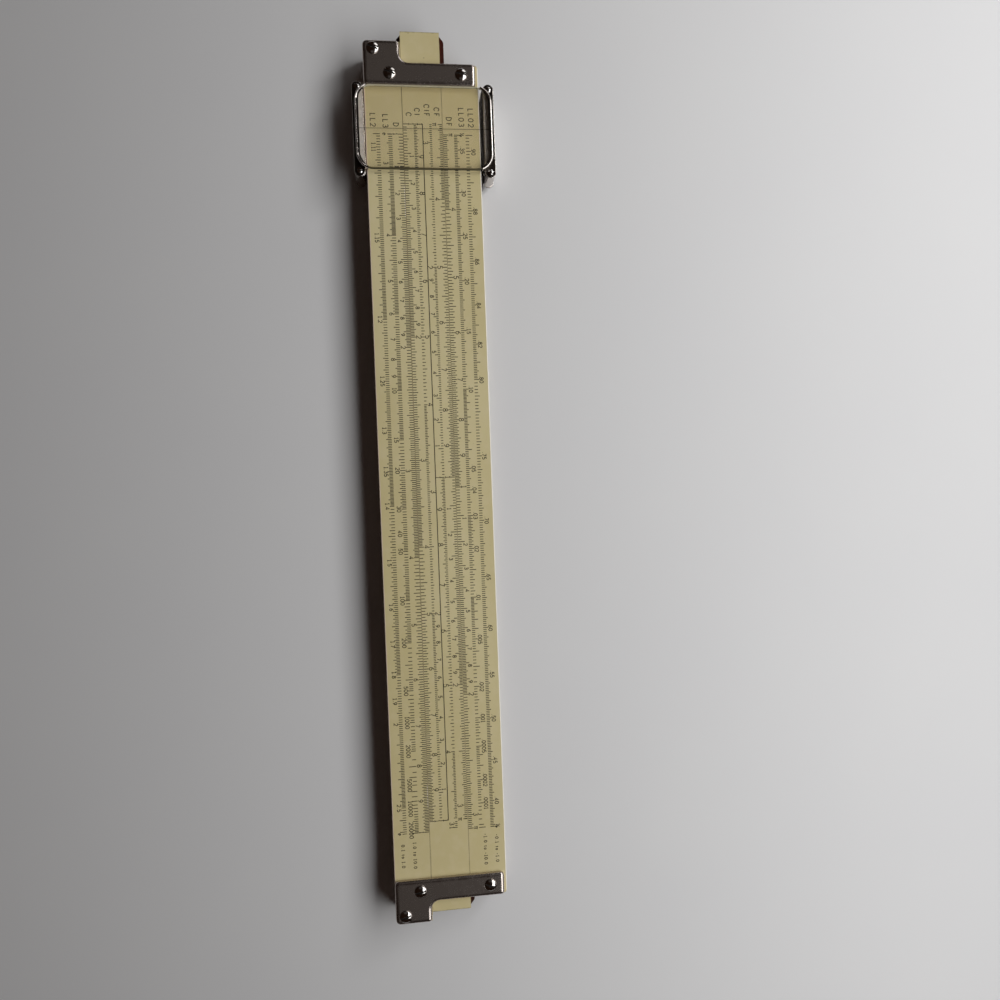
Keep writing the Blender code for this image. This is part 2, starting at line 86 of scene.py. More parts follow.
class Nodes:
    """Short calls that add nodes to one tree."""

    def __init__(self, tree, coordinates):
        self.tree = tree
        self.place = self.node("ShaderNodeTexCoord").outputs[coordinates]

    def node(self, kind, inputs=None, **settings):
        made = self.tree.nodes.new(kind)
        for name, value in settings.items():
            setattr(made, name, value)
        for key, value in (inputs or {}).items():
            self.feed(made.inputs[key], value)
        return made

    def feed(self, socket, value):
        if isinstance(value, bpy.types.NodeSocket):
            self.tree.links.new(value, socket)
        elif isinstance(value, tuple) and len(value) == 3 and socket.type == "RGBA":
            socket.default_value = (*value, 1)
        else:
            socket.default_value = value

    def math(self, operation, first, second=0.0, clamp=False):
        made = self.node("ShaderNodeMath", {0: first, 1: second}, operation=operation, use_clamp=clamp)
        return made.outputs[0]

    def plus(self, first, second):
        return self.math("ADD", first, second)

    def times(self, first, second):
        return self.math("MULTIPLY", first, second)

    def spread(self, value, low, high, to_low=0.0, to_high=1.0):
        """value from low..high taken to to_low..to_high, and held there beyond."""
        return self.node("ShaderNodeMapRange", {0: value, 1: low, 2: high, 3: to_low, 4: to_high},
                         interpolation_type="SMOOTHSTEP").outputs[0]

    def noise(self, size, stretch=(1, 1, 1), detail=3, seed=0):
        """Noise whose blotches are about size millimetres, longer by stretch along each axis."""
        scaled = self.node("ShaderNodeMapping", {0: self.place}, vector_type="POINT")
        scaled.inputs["Scale"].default_value = [1 / (size * MM * along) for along in stretch]
        scaled.inputs["Location"].default_value = (seed, seed / 2, seed / 3)
        sockets = {"Vector": scaled.outputs[0], "Scale": 1.0, "Detail": detail}
        return self.node("ShaderNodeTexNoise", sockets).outputs[0]

    def mix(self, share, first, second):
        """A colour that is the second one by share."""
        return self.node("ShaderNodeMix", {0: share, 6: first, 7: second}, data_type="RGBA").outputs[2]

    def axes(self):
        return self.node("ShaderNodeSeparateXYZ", {0: self.place}).outputs


class Look(Nodes):
    """A material under construction: one Principled shader and the nodes that feed it."""

    def __init__(self, name, roughness=0.5, metallic=0.0, **sockets):
        self.material = bpy.data.materials.new(name)
        self.material.use_nodes = True
        super().__init__(self.material.node_tree, "Object")
        self.shader = self.tree.nodes["Principled BSDF"]
        self.shader.inputs["Roughness"].default_value = roughness
        self.shader.inputs["Metallic"].default_value = metallic
        for socket, value in sockets.items():
            self.shader.inputs[socket.replace("_", " ")].default_value = value

    def set(self, socket, value):
        self.feed(self.shader.inputs[socket], value)

    def bump(self, height, depth, strength):
        """height 0..1 stands for depth millimetres."""
        sockets = {"Height": height, "Strength": strength, "Distance": depth * MM}
        self.set("Normal", self.node("ShaderNodeBump", sockets).outputs[0])


CELLULOID = (0.76, 0.665, 0.375)
CELLULOID_DEEP = (0.70, 0.60, 0.315)
CELLULOID_PALE = (0.82, 0.71, 0.48)
GRIME = (0.12, 0.085, 0.04)


def celluloid(name, low, high, wear_and_highlights):
    """Aged cream celluloid: faintly blotched, finely scratched, with grime along its edges. The last
    argument lists where an edge is paler, as its y, width, colour, and first and last x: rubbed wear on
    some edges, a painted highlight on others."""
    look = Look(name, roughness=0.4, Specular_IOR_Level=0.5)
    x, y = look.axes()[:2]
    ragged = look.times(look.noise(1.6, stretch=(3, 1, 1), detail=4), 0.7 * MM)

    def grime(along, first, last, reach, share):
        """Grime along two edges, by share there and none from reach on."""
        away = look.math("MINIMUM", look.math("SUBTRACT", along, first * MM),
                         look.math("SUBTRACT", last * MM, along))
        return look.spread(look.plus(away, ragged), 0.25 * MM, reach * MM, share, 0.0)

    grimy = look.math("MAXIMUM", grime(x, low.x, high.x, 0.75, 0.6), grime(y, low.y, high.y, 0.6, 0.25))
    blotches = look.spread(look.noise(38, stretch=(2, 1, 1), detail=2), 0.35, 0.65)
    clouds = look.spread(look.noise(3.2, detail=4, seed=7), 0.42, 0.75, 0.0, 0.22)
    colour = look.mix(clouds, look.mix(blotches, CELLULOID, CELLULOID_DEEP), CELLULOID_PALE)
    colour = look.mix(grimy, colour, GRIME)
    # Each listed edge is mixed towards its paler colour; some stand for rubbed wear, others are a
    # painted highlight or glint.
    for edge, width, pale, first, last in wear_and_highlights:
        away = look.math("ABSOLUTE", look.math("SUBTRACT", y, edge * MM))
        share = look.spread(look.plus(away, look.times(ragged, width)),
                            width * 0.9 * MM, width * 1.6 * MM, 0.95, 0.0)
        for end, fade in ((first, (0.0, 1.0)), (last, (1.0, 0.0))):
            share = look.times(share, look.spread(x, (end - 1) * MM, (end + 1) * MM, *fade))
        colour = look.mix(share, colour, pale)
    specks = look.spread(look.noise(0.5, detail=1, seed=3), 0.77, 0.81, 0.0, 0.5)
    look.set("Base Color", look.mix(specks, colour, GRIME))
    scratches = look.noise(0.16, stretch=(60, 1, 1), detail=2, seed=11)
    cross = look.noise(0.2, stretch=(1, 40, 1), detail=2, seed=19)
    rubbed = look.spread(look.noise(9, detail=3, seed=5), 0.3, 0.7, 0.34, 0.5)
    look.set("Roughness", look.plus(rubbed, look.spread(scratches, 0.6, 0.75, 0.0, 0.12)))
    look.bump(look.plus(look.times(scratches, 0.6), look.times(cross, 0.4)), 0.004, 0.5)
    return look.material


WOOD_DARK, WOOD_RED = (0.014, 0.003, 0.001), (0.07, 0.009, 0.003)
WOOD_BAND, WOOD_PORE = (0.07, 0.014, 0.008), (0.008, 0.003, 0.002)


def mahogany(name):
    """Oiled dark wood with long grain along the rule and open pores."""
    look = Look(name, roughness=0.45, Specular_IOR_Level=0.2)
    grain = look.noise(0.55, stretch=(26, 1, 1.6), detail=5)
    pores = look.noise(0.16, stretch=(14, 1, 1), detail=2, seed=4)
    bands = look.spread(look.noise(4, stretch=(12, 1, 1), detail=2, seed=9), 0.35, 0.65)
    colour = look.mix(look.spread(grain, 0.32, 0.68), WOOD_DARK, WOOD_RED)
    colour = look.mix(look.times(bands, 0.45), colour, WOOD_BAND)
    look.set("Base Color", look.mix(look.spread(pores, 0.6, 0.72, 0.0, 0.8), colour, WOOD_PORE))
    look.set("Roughness", look.spread(pores, 0.3, 0.7, 0.36, 0.62))
    look.bump(look.plus(look.times(grain, 0.5), look.times(pores, 0.5)), 0.03, 0.8)
    return look.material


TARNISH = (0.10, 0.075, 0.06)


def metal(name, bright, dull, roughness, brushed, spots=0.35, depth=0.002, film=0.0, mottle=5,
          uneven=1.0):
    """Plated or plain metal: fine brushing, rubbed patches and a little tarnish in spots. film is the
    share of a dull layer that scatters light, uneven how much the patches change the polish."""
    look = Look(name, roughness=roughness, metallic=1.0 - film)
    lines = look.noise(0.12, stretch=brushed, detail=3)
    patches = look.spread(look.noise(mottle, detail=5, seed=2), 0.35, 0.65)
    stains = look.spread(look.noise(0.55, detail=5, seed=13), 0.58, 0.78, 0.0, spots)
    look.set("Base Color", look.mix(stains, look.mix(patches, bright, dull), TARNISH))
    polish = look.spread(patches, 0, 1, roughness * (1 - 0.2 * uneven), roughness * (1 + 0.3 * uneven))
    rough = look.plus(polish, look.spread(lines, 0.5, 0.8, 0.0, roughness * 0.5))
    look.set("Roughness", look.math("ADD", rough, look.times(stains, 0.4), clamp=True))
    look.bump(look.plus(lines, look.times(stains, -0.6)), depth, 0.6)
    return look.material


def printed(name, dark=(0.016, 0.012, 0.004), faded=(0.055, 0.042, 0.017)):
    """Scale ink, unevenly worn."""
    look = Look(name, roughness=0.6)
    look.set("Base Color", look.mix(look.spread(look.noise(2.4, detail=5), 0.42, 0.72), dark, faded))
    look.set("Roughness", look.spread(look.noise(0.6, detail=2, seed=3), 0.3, 0.7, 0.5, 0.75))
    return look.material


def clear_glass(name):
    """Old ground glass plate that lets lamps through, with faint smears and dust in its polish."""
    look = Look(name, roughness=0.0, IOR=1.5, Transmission_Weight=1.0)
    smears = look.spread(look.noise(7, stretch=(1, 2, 1), detail=4), 0.45, 0.75)
    look.set("Base Color", look.mix(smears, (0.99, 0.975, 0.95), (0.975, 0.955, 0.925)))
    look.set("Roughness", look.spread(look.noise(2, detail=4, seed=6), 0.5, 0.8, 0.0, 0.05))
    path = look.node("ShaderNodeLightPath").outputs
    lamp = look.math("MAXIMUM", path["Is Shadow Ray"], path["Is Diffuse Ray"])
    through = look.node("ShaderNodeBsdfTransparent", {0: (0.96, 0.95, 0.93)})
    both = look.node("ShaderNodeMixShader", {0: lamp, 1: look.shader.outputs[0], 2: through.outputs[0]})
    look.tree.links.new(both.outputs[0], look.tree.nodes["Material Output"].inputs[0])
    return look.material


def ground_glass(name, colour, roughness, clear=0.75):
    """A glass's ground edge, of which the share clear lets light through."""
    look = Look(name, roughness=roughness, IOR=1.5, Transmission_Weight=clear)
    darker = tuple(0.7 * part for part in colour)
    look.set("Base Color", look.mix(look.noise(0.8, detail=3), colour, darker))
    return look.material


# Near-black colour for the walls and floor of screw slots, much darker than the screw's metal.
def slot_dirt(name):
    look = Look(name, roughness=0.75)
    grain = look.noise(0.3, detail=3)
    look.set("Base Color", look.mix(grain, (0.006, 0.005, 0.004), (0.03, 0.022, 0.016)))
    return look.material


STEEL = metal("end_plate_steel", (0.55, 0.49, 0.455), (0.49, 0.435, 0.40), 0.21, brushed=(1, 8, 1),
              spots=0.1, depth=0.0008, film=0.02, mottle=3.2, uneven=0.5)
CHROME = metal("cursor_chrome", (0.70, 0.66, 0.62), (0.62, 0.57, 0.53), 0.18, brushed=(24, 1, 1),
               spots=0.1, depth=0.0003, film=0.015, uneven=0.6)
DULL_PLATING = metal("dull_plating", (0.80, 0.76, 0.72), (0.66, 0.61, 0.56), 0.42, brushed=(24, 1, 1),
                     spots=0.2, film=0.6, mottle=2)
# Near-black metal that stands for the dark room mirrored in flat chrome: a painted reflection.
DARK_REFLECTION_PLATING = metal("plating_painted_dark_reflection", (0.06, 0.05, 0.042), (0.03, 0.024, 0.02), 0.3,
                  brushed=(24, 1, 1), spots=0.2, depth=0.0005, mottle=2)
SCREW = metal("screw_chrome", (0.68, 0.66, 0.64), (0.50, 0.47, 0.44), 0.12, brushed=(1, 1, 1),
              spots=0.4)
SPRING = metal("spring_steel", (0.34, 0.33, 0.33), (0.2, 0.19, 0.19), 0.3, brushed=(30, 1, 1))
INK = printed("scale_ink")
HAIRLINE = printed("hairline_ink", (0.03, 0.02, 0.012), (0.05, 0.035, 0.02))
GLASS = clear_glass("cursor_glass")
# The ground edges carry painted light: near black on the walls and chamfers as painted shade, pale on
# the faces towards the rule's left end as a painted highlight.
GLASS_EDGE_SHADE = ground_glass("glass_ground_wall_painted_shade", (0.07, 0.065, 0.035), 0.45)
GLASS_EDGE_HIGHLIGHT = ground_glass("glass_ground_painted_highlight", (0.95, 0.90, 0.68), 0.3, clear=0.25)
GLASS_CHAMFER_SHADE = ground_glass("glass_ground_corner", (0.10, 0.09, 0.055), 0.35)
SLOT_DARK = slot_dirt("slot_dirt")


# Shapes
SHARP_DEGREES = 40


def smooth_shaded(mesh):
    mesh.shade_smooth()
    mesh.set_sharp_from_angle(angle=math.radians(SHARP_DEGREES))


def paint(made, *materials):
    made.data.materials.clear()
    for material in materials:
        made.data.materials.append(material)


def piece(name, points, faces, body, material, slot=None, smooth=False):
    """A mesh from points in millimetres, riding on a CAD body."""
    mesh = bpy.data.meshes.new(name)
    mesh.from_pydata([tuple(Vector(point) * MM) for point in points], [], faces)
    made = new_object(name, mesh)
    shape = bmesh.new()
    shape.from_mesh(mesh)
    bmesh.ops.recalc_face_normals(shape, faces=shape.faces)
    shape.to_mesh(mesh)
    shape.free()
    paint(made, material)
    if smooth:
        smooth_shaded(mesh)
    if body:
        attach(made, body)
    return made


def stand_for(made, node, body):
    """Rides a piece on its body, in place of a CAD node."""
    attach(made, body)
    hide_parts(node)


def weigh_normals(made):
    """Keeps large flat faces flat where they meet small rounded ones."""
    made.modifiers.new("weighted", "WEIGHTED_NORMAL").keep_sharp = True


def combine(target, operation, tool):
    """Cuts or joins with another object, for good, and removes that one."""
    change = target.modifiers.new(operation, "BOOLEAN")
    change.object, change.operation, change.solver = tool, operation, "EXACT"
    bpy.context.view_layer.update()
    changed = target.evaluated_get(bpy.context.evaluated_depsgraph_get())
    result = bpy.data.meshes.new_from_object(changed)
    target.modifiers.clear()
    target.data = result
    bpy.data.objects.remove(tool)
    smooth_shaded(result)


def arc(x, y, across, up, start, end, steps=None):
    """Points of an ellipse's arc, from start to end degrees."""
    steps = steps or max(3, round(abs(end - start) / 24))
    turns = [math.radians(start + (end - start) * step / steps) for step in range(steps + 1)]
    return [(x + across * math.cos(turn), y + up * math.sin(turn)) for turn in turns]


def rounded(corners, steps=10):
    """An outline from corners (x, y, radius)."""
    outline = []
    for index, (x, y, radius) in enumerate(corners):
        corner = Vector((x, y))
        before = (Vector(corners[index - 1][:2]) - corner).normalized()
        after = (Vector(corners[(index + 1) % len(corners)][:2]) - corner).normalized()
        half = before.angle(after) / 2
        centre = corner + (before + after).normalized() * radius / math.sin(half)
        start = corner + before * radius / math.tan(half) - centre
        turn = -start.angle_signed(corner + after * radius / math.tan(half) - centre)
        for step in range(steps + 1):
            angle = math.atan2(start.y, start.x) + turn * step / steps
            outline.append(centre + radius * Vector((math.cos(angle), math.sin(angle))))
    return [point for index, point in enumerate(outline) if (point - outline[index - 1]).length > 1e-4]


def rounded_box(x, y, radius, steps):
    """The outline of a rectangle with round corners, from its two x and its two y."""
    return rounded([(x[0], y[0], radius), (x[1], y[0], radius),
                    (x[1], y[1], radius), (x[0], y[1], radius)], steps)


def ring_area(outline):
    return sum(a[0] * b[1] - b[0] * a[1] for a, b in zip(outline, outline[1:] + outline[:1])) / 2


def inset(outline, distance, inwards=1):
    """The outline moved into the solid that it bounds, or out of it where inwards is -1."""
    side = math.copysign(1, ring_area(outline)) * inwards
    moved = []
    for index, point in enumerate(outline):
        here = Vector(point)
        before = (here - Vector(outline[index - 1])).normalized()
        after = (Vector(outline[(index + 1) % len(outline)]) - here).normalized()
        across = Vector((-before.y - after.y, before.x + after.x)).normalized() * side
        square = Vector((-before.y, before.x)) * side
        moved.append(here + across * distance / max(across.dot(square), 0.3))
    return moved


def edge_steps(width, drop, steps):
    """(inset, drop) pairs of a rounded edge, from the wall to the face."""
    turns = [math.pi / 2 * step / steps for step in range(steps + 1)]
    return [(width * (1 - math.cos(turn)), drop * (1 - math.sin(turn))) for turn in turns]


PLAIN_EDGE = (0.1, 0.1, 2)


def edges(rise, seen):
    """A plate's roundings for slab, with the seen one on the face that looks outwards."""
    return {"top": seen, "bottom": PLAIN_EDGE} if rise > 0 else {"top": PLAIN_EDGE, "bottom": seen}


def slab(name, outline, low, high, material, top, bottom, holes=()):
    """A flat plate with rounded edges. top and bottom give each face's rounding: width, drop, steps."""
    levels = [(reach, low + drop) for reach, drop in edge_steps(*bottom)][::-1]
    levels += [(reach, high - drop) for reach, drop in edge_steps(*top)]
    shape = bmesh.new()
    ends = ([], [])
    for loop, inwards in [(outline, 1)] + [(hole, -1) for hole in holes]:
        rings = []
        for reach, level in levels:
            around = inset(loop, reach, inwards) if reach else loop
            rings.append([shape.verts.new((x * MM, y * MM, level * MM)) for x, y in around])
        for below, above in zip(rings, rings[1:]):
            for here in range(len(loop)):
                there = (here + 1) % len(loop)
                shape.faces.new((below[here], below[there], above[there], above[here]))
        for end, ring in zip(ends, (rings[0], rings[-1])):
            end += [shape.edges.get((ring[here - 1], ring[here])) for here in range(len(ring))]
    for end in ends:
        bmesh.ops.triangle_fill(shape, edges=end, use_beauty=True)
    bmesh.ops.recalc_face_normals(shape, faces=shape.faces)
    mesh = bpy.data.meshes.new(name)
    shape.to_mesh(mesh)
    shape.free()
    made = new_object(name, mesh)
    paint(made, material)
    smooth_shaded(mesh)
    return made


def rings_joined(rings, capped=True):
    """Points and faces of a skin over rings of equally many points."""
    count = len(rings[0])
    points = [point for ring in rings for point in ring]
    faces = []
    for first in range(0, len(points) - count, count):
        for here in range(count):
            there = (here + 1) % count
            faces.append((first + here, first + there, first + count + there, first + count + here))
    if capped:
        faces += [tuple(range(count)), tuple(range(len(points) - count, len(points)))]
    return points, faces


def prism(outline, levels, capped=True):
    """Points and faces of an upright block between two levels."""
    return rings_joined([[(*point, level) for point in outline] for level in levels], capped)


def turned(name, profile, place, segments, material):
    """A solid of revolution about Z at place. Its (radius, height) pairs start and end on the axis."""
    points, faces, rings = [], [], []
    for radius, height in profile:
        count = segments if radius else 1
        rings.append(list(range(len(points), len(points) + count)))
        for index in range(count):
            turn = 2 * math.pi * index / segments
            x, y = place.x + radius * math.cos(turn), place.y + radius * math.sin(turn)
            points.append((x, y, height))
    for below, above in zip(rings, rings[1:]):
        for here in range(segments):
            there = (here + 1) % segments
            corners = [below[here % len(below)], below[there % len(below)],
                       above[there % len(above)], above[here % len(above)]]
            faces.append(tuple(dict.fromkeys(corners)))
    return piece(name, points, faces, None, material, smooth=True)


def ribbon(line, width, closed=False):
    """Left and right edges of a stroke of even width along a line."""
    sides = ([], [])
    count = len(line)
    for index, point in enumerate(line):
        here = Vector(point)
        before = here - Vector(line[index - 1]) if closed or index else None
        after = Vector(line[(index + 1) % count]) - here if closed or index < count - 1 else None
        before, after = before or after, after or before
        before, after = before.normalized(), after.normalized()
        across = Vector((-before.y - after.y, before.x + after.x))
        across = across.normalized() if across.length > 1e-6 else Vector((-before.y, before.x))
        reach = width / 2 / max(across.dot(Vector((-before.y, before.x))), 0.5)
        sides[0].append(here + across * reach)
        sides[1].append(here - across * reach)
    return sides


# Screws
CAP_DEGREES, CAP_STEPS, HEAD_SEGMENTS = 36, 10, 48
SLOT_HALF_WIDTH, SLOT_HALF_LENGTH, SLOT_FLOOR = 0.15, 1.3, 0.45
HEAD_SUNK, SMALL_HEAD = 0.01, 0.6


def head_profile(seat, rise, radius, height, shank, tip, edge):
    """(radius, height) pairs of a screw with a low rim and a cap that is part of a sphere."""
    profile = [(0, tip), (shank * 0.8, tip), (shank, tip + rise * shank * 0.2), (shank, seat),
               (radius * 0.985, seat), (radius, seat + rise * edge * height * 0.3)]
    steepest = math.radians(CAP_DEGREES)
    cap = radius * (1 - math.cos(steepest)) / math.sin(steepest)
    for step in range(CAP_STEPS):
        slope = steepest * (1 - step / CAP_STEPS)
        fall = cap - radius * (1 - math.cos(slope)) / math.sin(steepest)
        around = radius * math.sin(slope) / math.sin(steepest)
        profile.append((around, seat + rise * (height - cap + fall)))
    return profile + [(0, seat + rise * height)]


def screw_head(node, body, seat, rise, radius, height, shank, tip, degrees, edge):
    """A slotted screw with a domed head. seat is the level under its head, edge its rim's share of its
    height, degrees its slot's turn."""
    low, high = box(node)
    centre = (low + high) / 2
    profile = head_profile(seat, rise, radius, height, shank, tip, edge)
    made = turned(f"{node}_fine", profile, centre, HEAD_SEGMENTS, SCREW)
    floor = seat + rise * height * SLOT_FLOOR
    half_length, half_width = radius * SLOT_HALF_LENGTH, radius * SLOT_HALF_WIDTH
    turn = math.radians(degrees)
    along, across = Vector((math.cos(turn), math.sin(turn))), Vector((-math.sin(turn), math.cos(turn)))
    corners = [centre.xy + along * a + across * b
               for a, b in ((-half_length, -half_width), (half_length, -half_width),
                            (half_length, half_width), (-half_length, half_width))]
    slot = prism(corners, (floor, seat + rise * height * 2))
    combine(made, "DIFFERENCE", piece(f"{node}_slot", *slot, None, SLOT_DARK))
    # The slot's walls and floor are painted near black.
    paint(made, SCREW, SLOT_DARK)
    for face in made.data.polygons:
        offset = face.center.xy / MM - centre.xy
        aside = abs(offset.dot(across))
        wall = aside < half_width * 1.02 and abs(face.normal.xy.dot(across)) > 0.9
        if aside < half_width * 0.98 or wall and offset.length < radius:
            level = face.center.z / MM
            face.material_index = int(rise * (level - floor) > -0.01 and (level - seat) * rise > 0.02)
    stand_for(made, node, body)


PLATE_SLOTS = {"left_foot_screw": 70, "left_strip_screw": 72, "left_tip_screw": 78,
               "right_foot_screw": 105, "right_strip_screw": 100, "right_tip_screw": 72}
CURSOR_SLOTS = {"lower_left": 20, "lower_right": 75, "upper_left": 110, "upper_right": 48}

for node, degrees in PLATE_SLOTS.items():
    seat = box("front_left_end_plate")[1].z - HEAD_SUNK
    screw_head(node, "stock", seat, 1, radius=2.05, height=0.96, shank=1.0, tip=box(node)[0].z,
               degrees=degrees, edge=0.2)

for face_name, rise in FRONT_AND_BACK:
    for corner, degrees in CURSOR_SLOTS.items():
        node = f"cursor_{face_name}_{corner}_screw"
        low, high = box(node)
        top, tip = (high.z, low.z) if rise > 0 else (low.z, high.z)
        screw_head(node, "cursor", top - rise * SMALL_HEAD, rise, radius=1.0, height=SMALL_HEAD,
                   shank=0.55, tip=tip, degrees=degrees * rise, edge=0.25)


# End plates, an L in plan with a wide soft edge
STRIP_LENGTH, FOOT_INSET = 8.2, 0.1
FOOT_CORNER, FOOT_INNER_CORNER, STRIP_CORNER, FILLET = 1.7, 1.2, 1.3, 3.0
SCREW_HOLE = 1.1
PLATE_EDGE = (1.35, 1.0, 10)

lower_inner = box("lower_stator_front_facing")[1].y
for face_name, rise in FRONT_AND_BACK:
    for end_name, end in (("left", -1), ("right", 1)):
        node = f"{face_name}_{end_name}_end_plate"
        low, high = box(node)
        inside, foot_end = (high.x, low.x) if end < 0 else (low.x, high.x)
        strip_end, foot_top = inside + end * STRIP_LENGTH, lower_inner - FOOT_INSET
        outline = rounded([(inside, low.y, FOOT_CORNER), (foot_end, low.y, FOOT_CORNER),
                           (foot_end, foot_top, FOOT_INNER_CORNER), (strip_end, foot_top, FILLET),
                           (strip_end, high.y, STRIP_CORNER), (inside, high.y, STRIP_CORNER)])
        holes = []
        for screw in ("foot", "strip", "tip"):
            corners = box(f"{end_name}_{screw}_screw")
            centre = (corners[0] + corners[1]) / 2
            holes.append(arc(centre.x, centre.y, SCREW_HOLE, SCREW_HOLE, 0, 345, 23))
        made = slab(f"{node}_fine", outline, low.z, high.z, STEEL, holes=holes,
                    **edges(rise, PLATE_EDGE))
        weigh_normals(made)
        stand_for(made, node, "stock")


# Cursor
GLASS_CORNER = 5.4
GLASS_TOP_EDGE, GLASS_BOTTOM_EDGE = (0.5, 0.25, 4), (0.3, 0.25, 4)
HAIRLINE_HALF, HAIRLINE_MARGIN, HAIRLINE_DEPTHS = 0.07, 0.4, (0.004, 0.02)
HAIRLINE_ENDS = (0.3, 0.1)
RIM_REACH, RIM_WALL, RIM_GAP, RIM_FOOT, RIM_STEPS = 3.6, 0.4, 0.05, 0.15, 20
RIM_EDGE = (0.5, 0.4, 8)
LIP_START, LIP_COVER, LIP_DROP, LIP_UNDERSIDE = 0.08, 0.9, 0.2, 0.3
GLASS_PLAY = 0.05
FLANGE_WIDTH, FLANGE_DROP, FLANGE_FOOT, RAIL_WIDTH = 3.75, 1.6, 2.1, 3.85
FLANGE_EDGE, RAIL_EDGE = (0.22, 0.22, 5), (0.15, 0.15, 3)
SEAT_INSET, SEAT_OVERLAP, SEAT_HEIGHT = 0.5, 0.08, 0.03
PANE_CLEAR, PANE_SHADED_CORNER, PANE_SHADED_WALL, PANE_HIGHLIT = range(4)


def pane_finish(normal):
    """Which of its finishes a pane has on a face. The ground edges towards its left end carry a painted
    highlight, and its other ground edges and chamfers carry painted shade.
    """
    if abs(normal.z) > 0.99:
        return PANE_CLEAR
    if abs(normal.z) > 0.1:
        return PANE_HIGHLIT if normal.x < -0.3 else PANE_SHADED_CORNER
    return PANE_HIGHLIT if normal.x < -0.5 else PANE_SHADED_WALL


def make_glass(face_name, rise, low, high):
    """A glass between the corners low and high, with the hairline on its inner face."""
    node = f"cursor_{face_name}_glass"
    pane = rounded_box((low.x, high.x), (low.y, high.y), GLASS_CORNER, 20)
    made = slab(f"{node}_fine", pane, low.z, high.z, GLASS, GLASS_TOP_EDGE, GLASS_BOTTOM_EDGE)
    paint(made, GLASS, GLASS_CHAMFER_SHADE, GLASS_EDGE_SHADE, GLASS_EDGE_HIGHLIGHT)
    for face in made.data.polygons:
        face.material_index = pane_finish(face.normal)
    weigh_normals(made)
    stand_for(made, node, "cursor")

    inner = low.z if rise > 0 else high.z
    middle = (low.x + high.x) / 2
    near, far = (middle + end for end in HAIRLINE_ENDS)
    first, last = low.y + HAIRLINE_MARGIN, high.y - HAIRLINE_MARGIN
    line = ((near - HAIRLINE_HALF, first), (near + HAIRLINE_HALF, first),
            (far + HAIRLINE_HALF, last), (far - HAIRLINE_HALF, last))
    levels = [inner - rise * depth for depth in HAIRLINE_DEPTHS]
    piece(f"cursor_{face_name}_hairline", *prism(line, levels), "cursor", HAIRLINE)


def rim_rings(side, rise, low, high, base, top):
    """Sections of the rim and its lip round one end of a glass. The lip narrows towards the rim's ends,
    and its flank is widest between them and the middle."""
    glass_end = high.y if side > 0 else low.y
    centre_y = glass_end - side * GLASS_CORNER
    first = math.degrees(math.asin(1 - RIM_REACH / GLASS_CORNER))
    lip_low, lip_top = top - rise * LIP_UNDERSIDE, top - rise * LIP_DROP
    rings = []
    for end in (-1, 1):
        centre_x = (low.x + GLASS_CORNER) if end < 0 else (high.x - GLASS_CORNER)
        for step in range(RIM_STEPS + 1)[::-end]:
            turn = math.radians(first + (90 - first) * step / RIM_STEPS)
            outward = Vector((end * math.cos(turn), side * math.sin(turn)))
            grown = min(1, 0.12 + step / 12) ** 0.6
            flank = min(0.6, (0.12 + 0.3 * math.sin(math.pi * step / RIM_STEPS)) / grown)
            section = [(RIM_GAP, base), (RIM_GAP + RIM_WALL, base)]
            section += [(RIM_GAP + RIM_WALL - reach, top - rise * drop)
                        for reach, drop in edge_steps(*RIM_EDGE)]
            section += [(-LIP_START, top - rise * 0.01), (-LIP_START - flank, lip_top),
                        (-LIP_COVER, lip_top), (-LIP_COVER, lip_low), (RIM_GAP, lip_low)]
            ring = []
            for out, level in section:
                radius = GLASS_CORNER + (out if out > 0 else out * grown)
                ring.append((centre_x + outward.x * radius, centre_y + outward.y * radius, level))
            rings.append(ring)
    return rings


def make_frame(face_name, rise, edge, side, low, high):
    """The frame at one end of the glass between low and high, and the dull strip under that end."""
    node = f"cursor_{face_name}_{edge}_frame"
    frame_low, frame_high = box(node)
    outer = frame_high.y if side > 0 else frame_low.y
    glass_face = high.z + GLASS_PLAY if rise > 0 else low.z - GLASS_PLAY
    flange_face = glass_face - rise * FLANGE_DROP
    flange = rounded_box((frame_low.x, frame_high.x), (outer, outer - side * FLANGE_WIDTH),
                         FLANGE_WIDTH / 2, 16)
    made = slab(f"{node}_fine", flange, *sorted((flange_face, glass_face - rise * FLANGE_FOOT)), CHROME,
                **edges(rise, FLANGE_EDGE))
    top = frame_high.z if rise > 0 else frame_low.z
    rim = rings_joined(rim_rings(side, rise, low, high, flange_face - rise * RIM_FOOT, top))
    combine(made, "UNION", piece(f"{node}_rim", *rim, None, CHROME, smooth=True))
    # The flat tops of the lip and the flange are painted near black, a painted dark reflection of the
    # room above.
    paint(made, CHROME, DARK_REFLECTION_PLATING)
    for face in made.data.polygons:
        level = face.center.z / MM
        from_flat = min(abs(level - flat) for flat in (top - rise * LIP_DROP, flange_face))
        face.material_index = int(abs(face.normal.z) > 0.95 and from_flat < 0.03)
    weigh_normals(made)
    stand_for(made, node, "cursor")

    radius, centre_y = GLASS_CORNER - SEAT_INSET, (high.y if side > 0 else low.y) - side * GLASS_CORNER
    inner = outer - side * (FLANGE_WIDTH - SEAT_OVERLAP)
    start = math.degrees(math.asin(abs(inner - centre_y) / radius))
    strip = arc(high.x - GLASS_CORNER, centre_y, radius, side * radius, start, 90, 12)
    strip += arc(low.x + GLASS_CORNER, centre_y, radius, side * radius, 90, 180 - start, 12)
    levels = sorted((flange_face, flange_face + rise * SEAT_HEIGHT))
    piece(f"cursor_{face_name}_{edge}_seat", *prism(strip, levels), "cursor", DULL_PLATING,
          "cursor_metal")


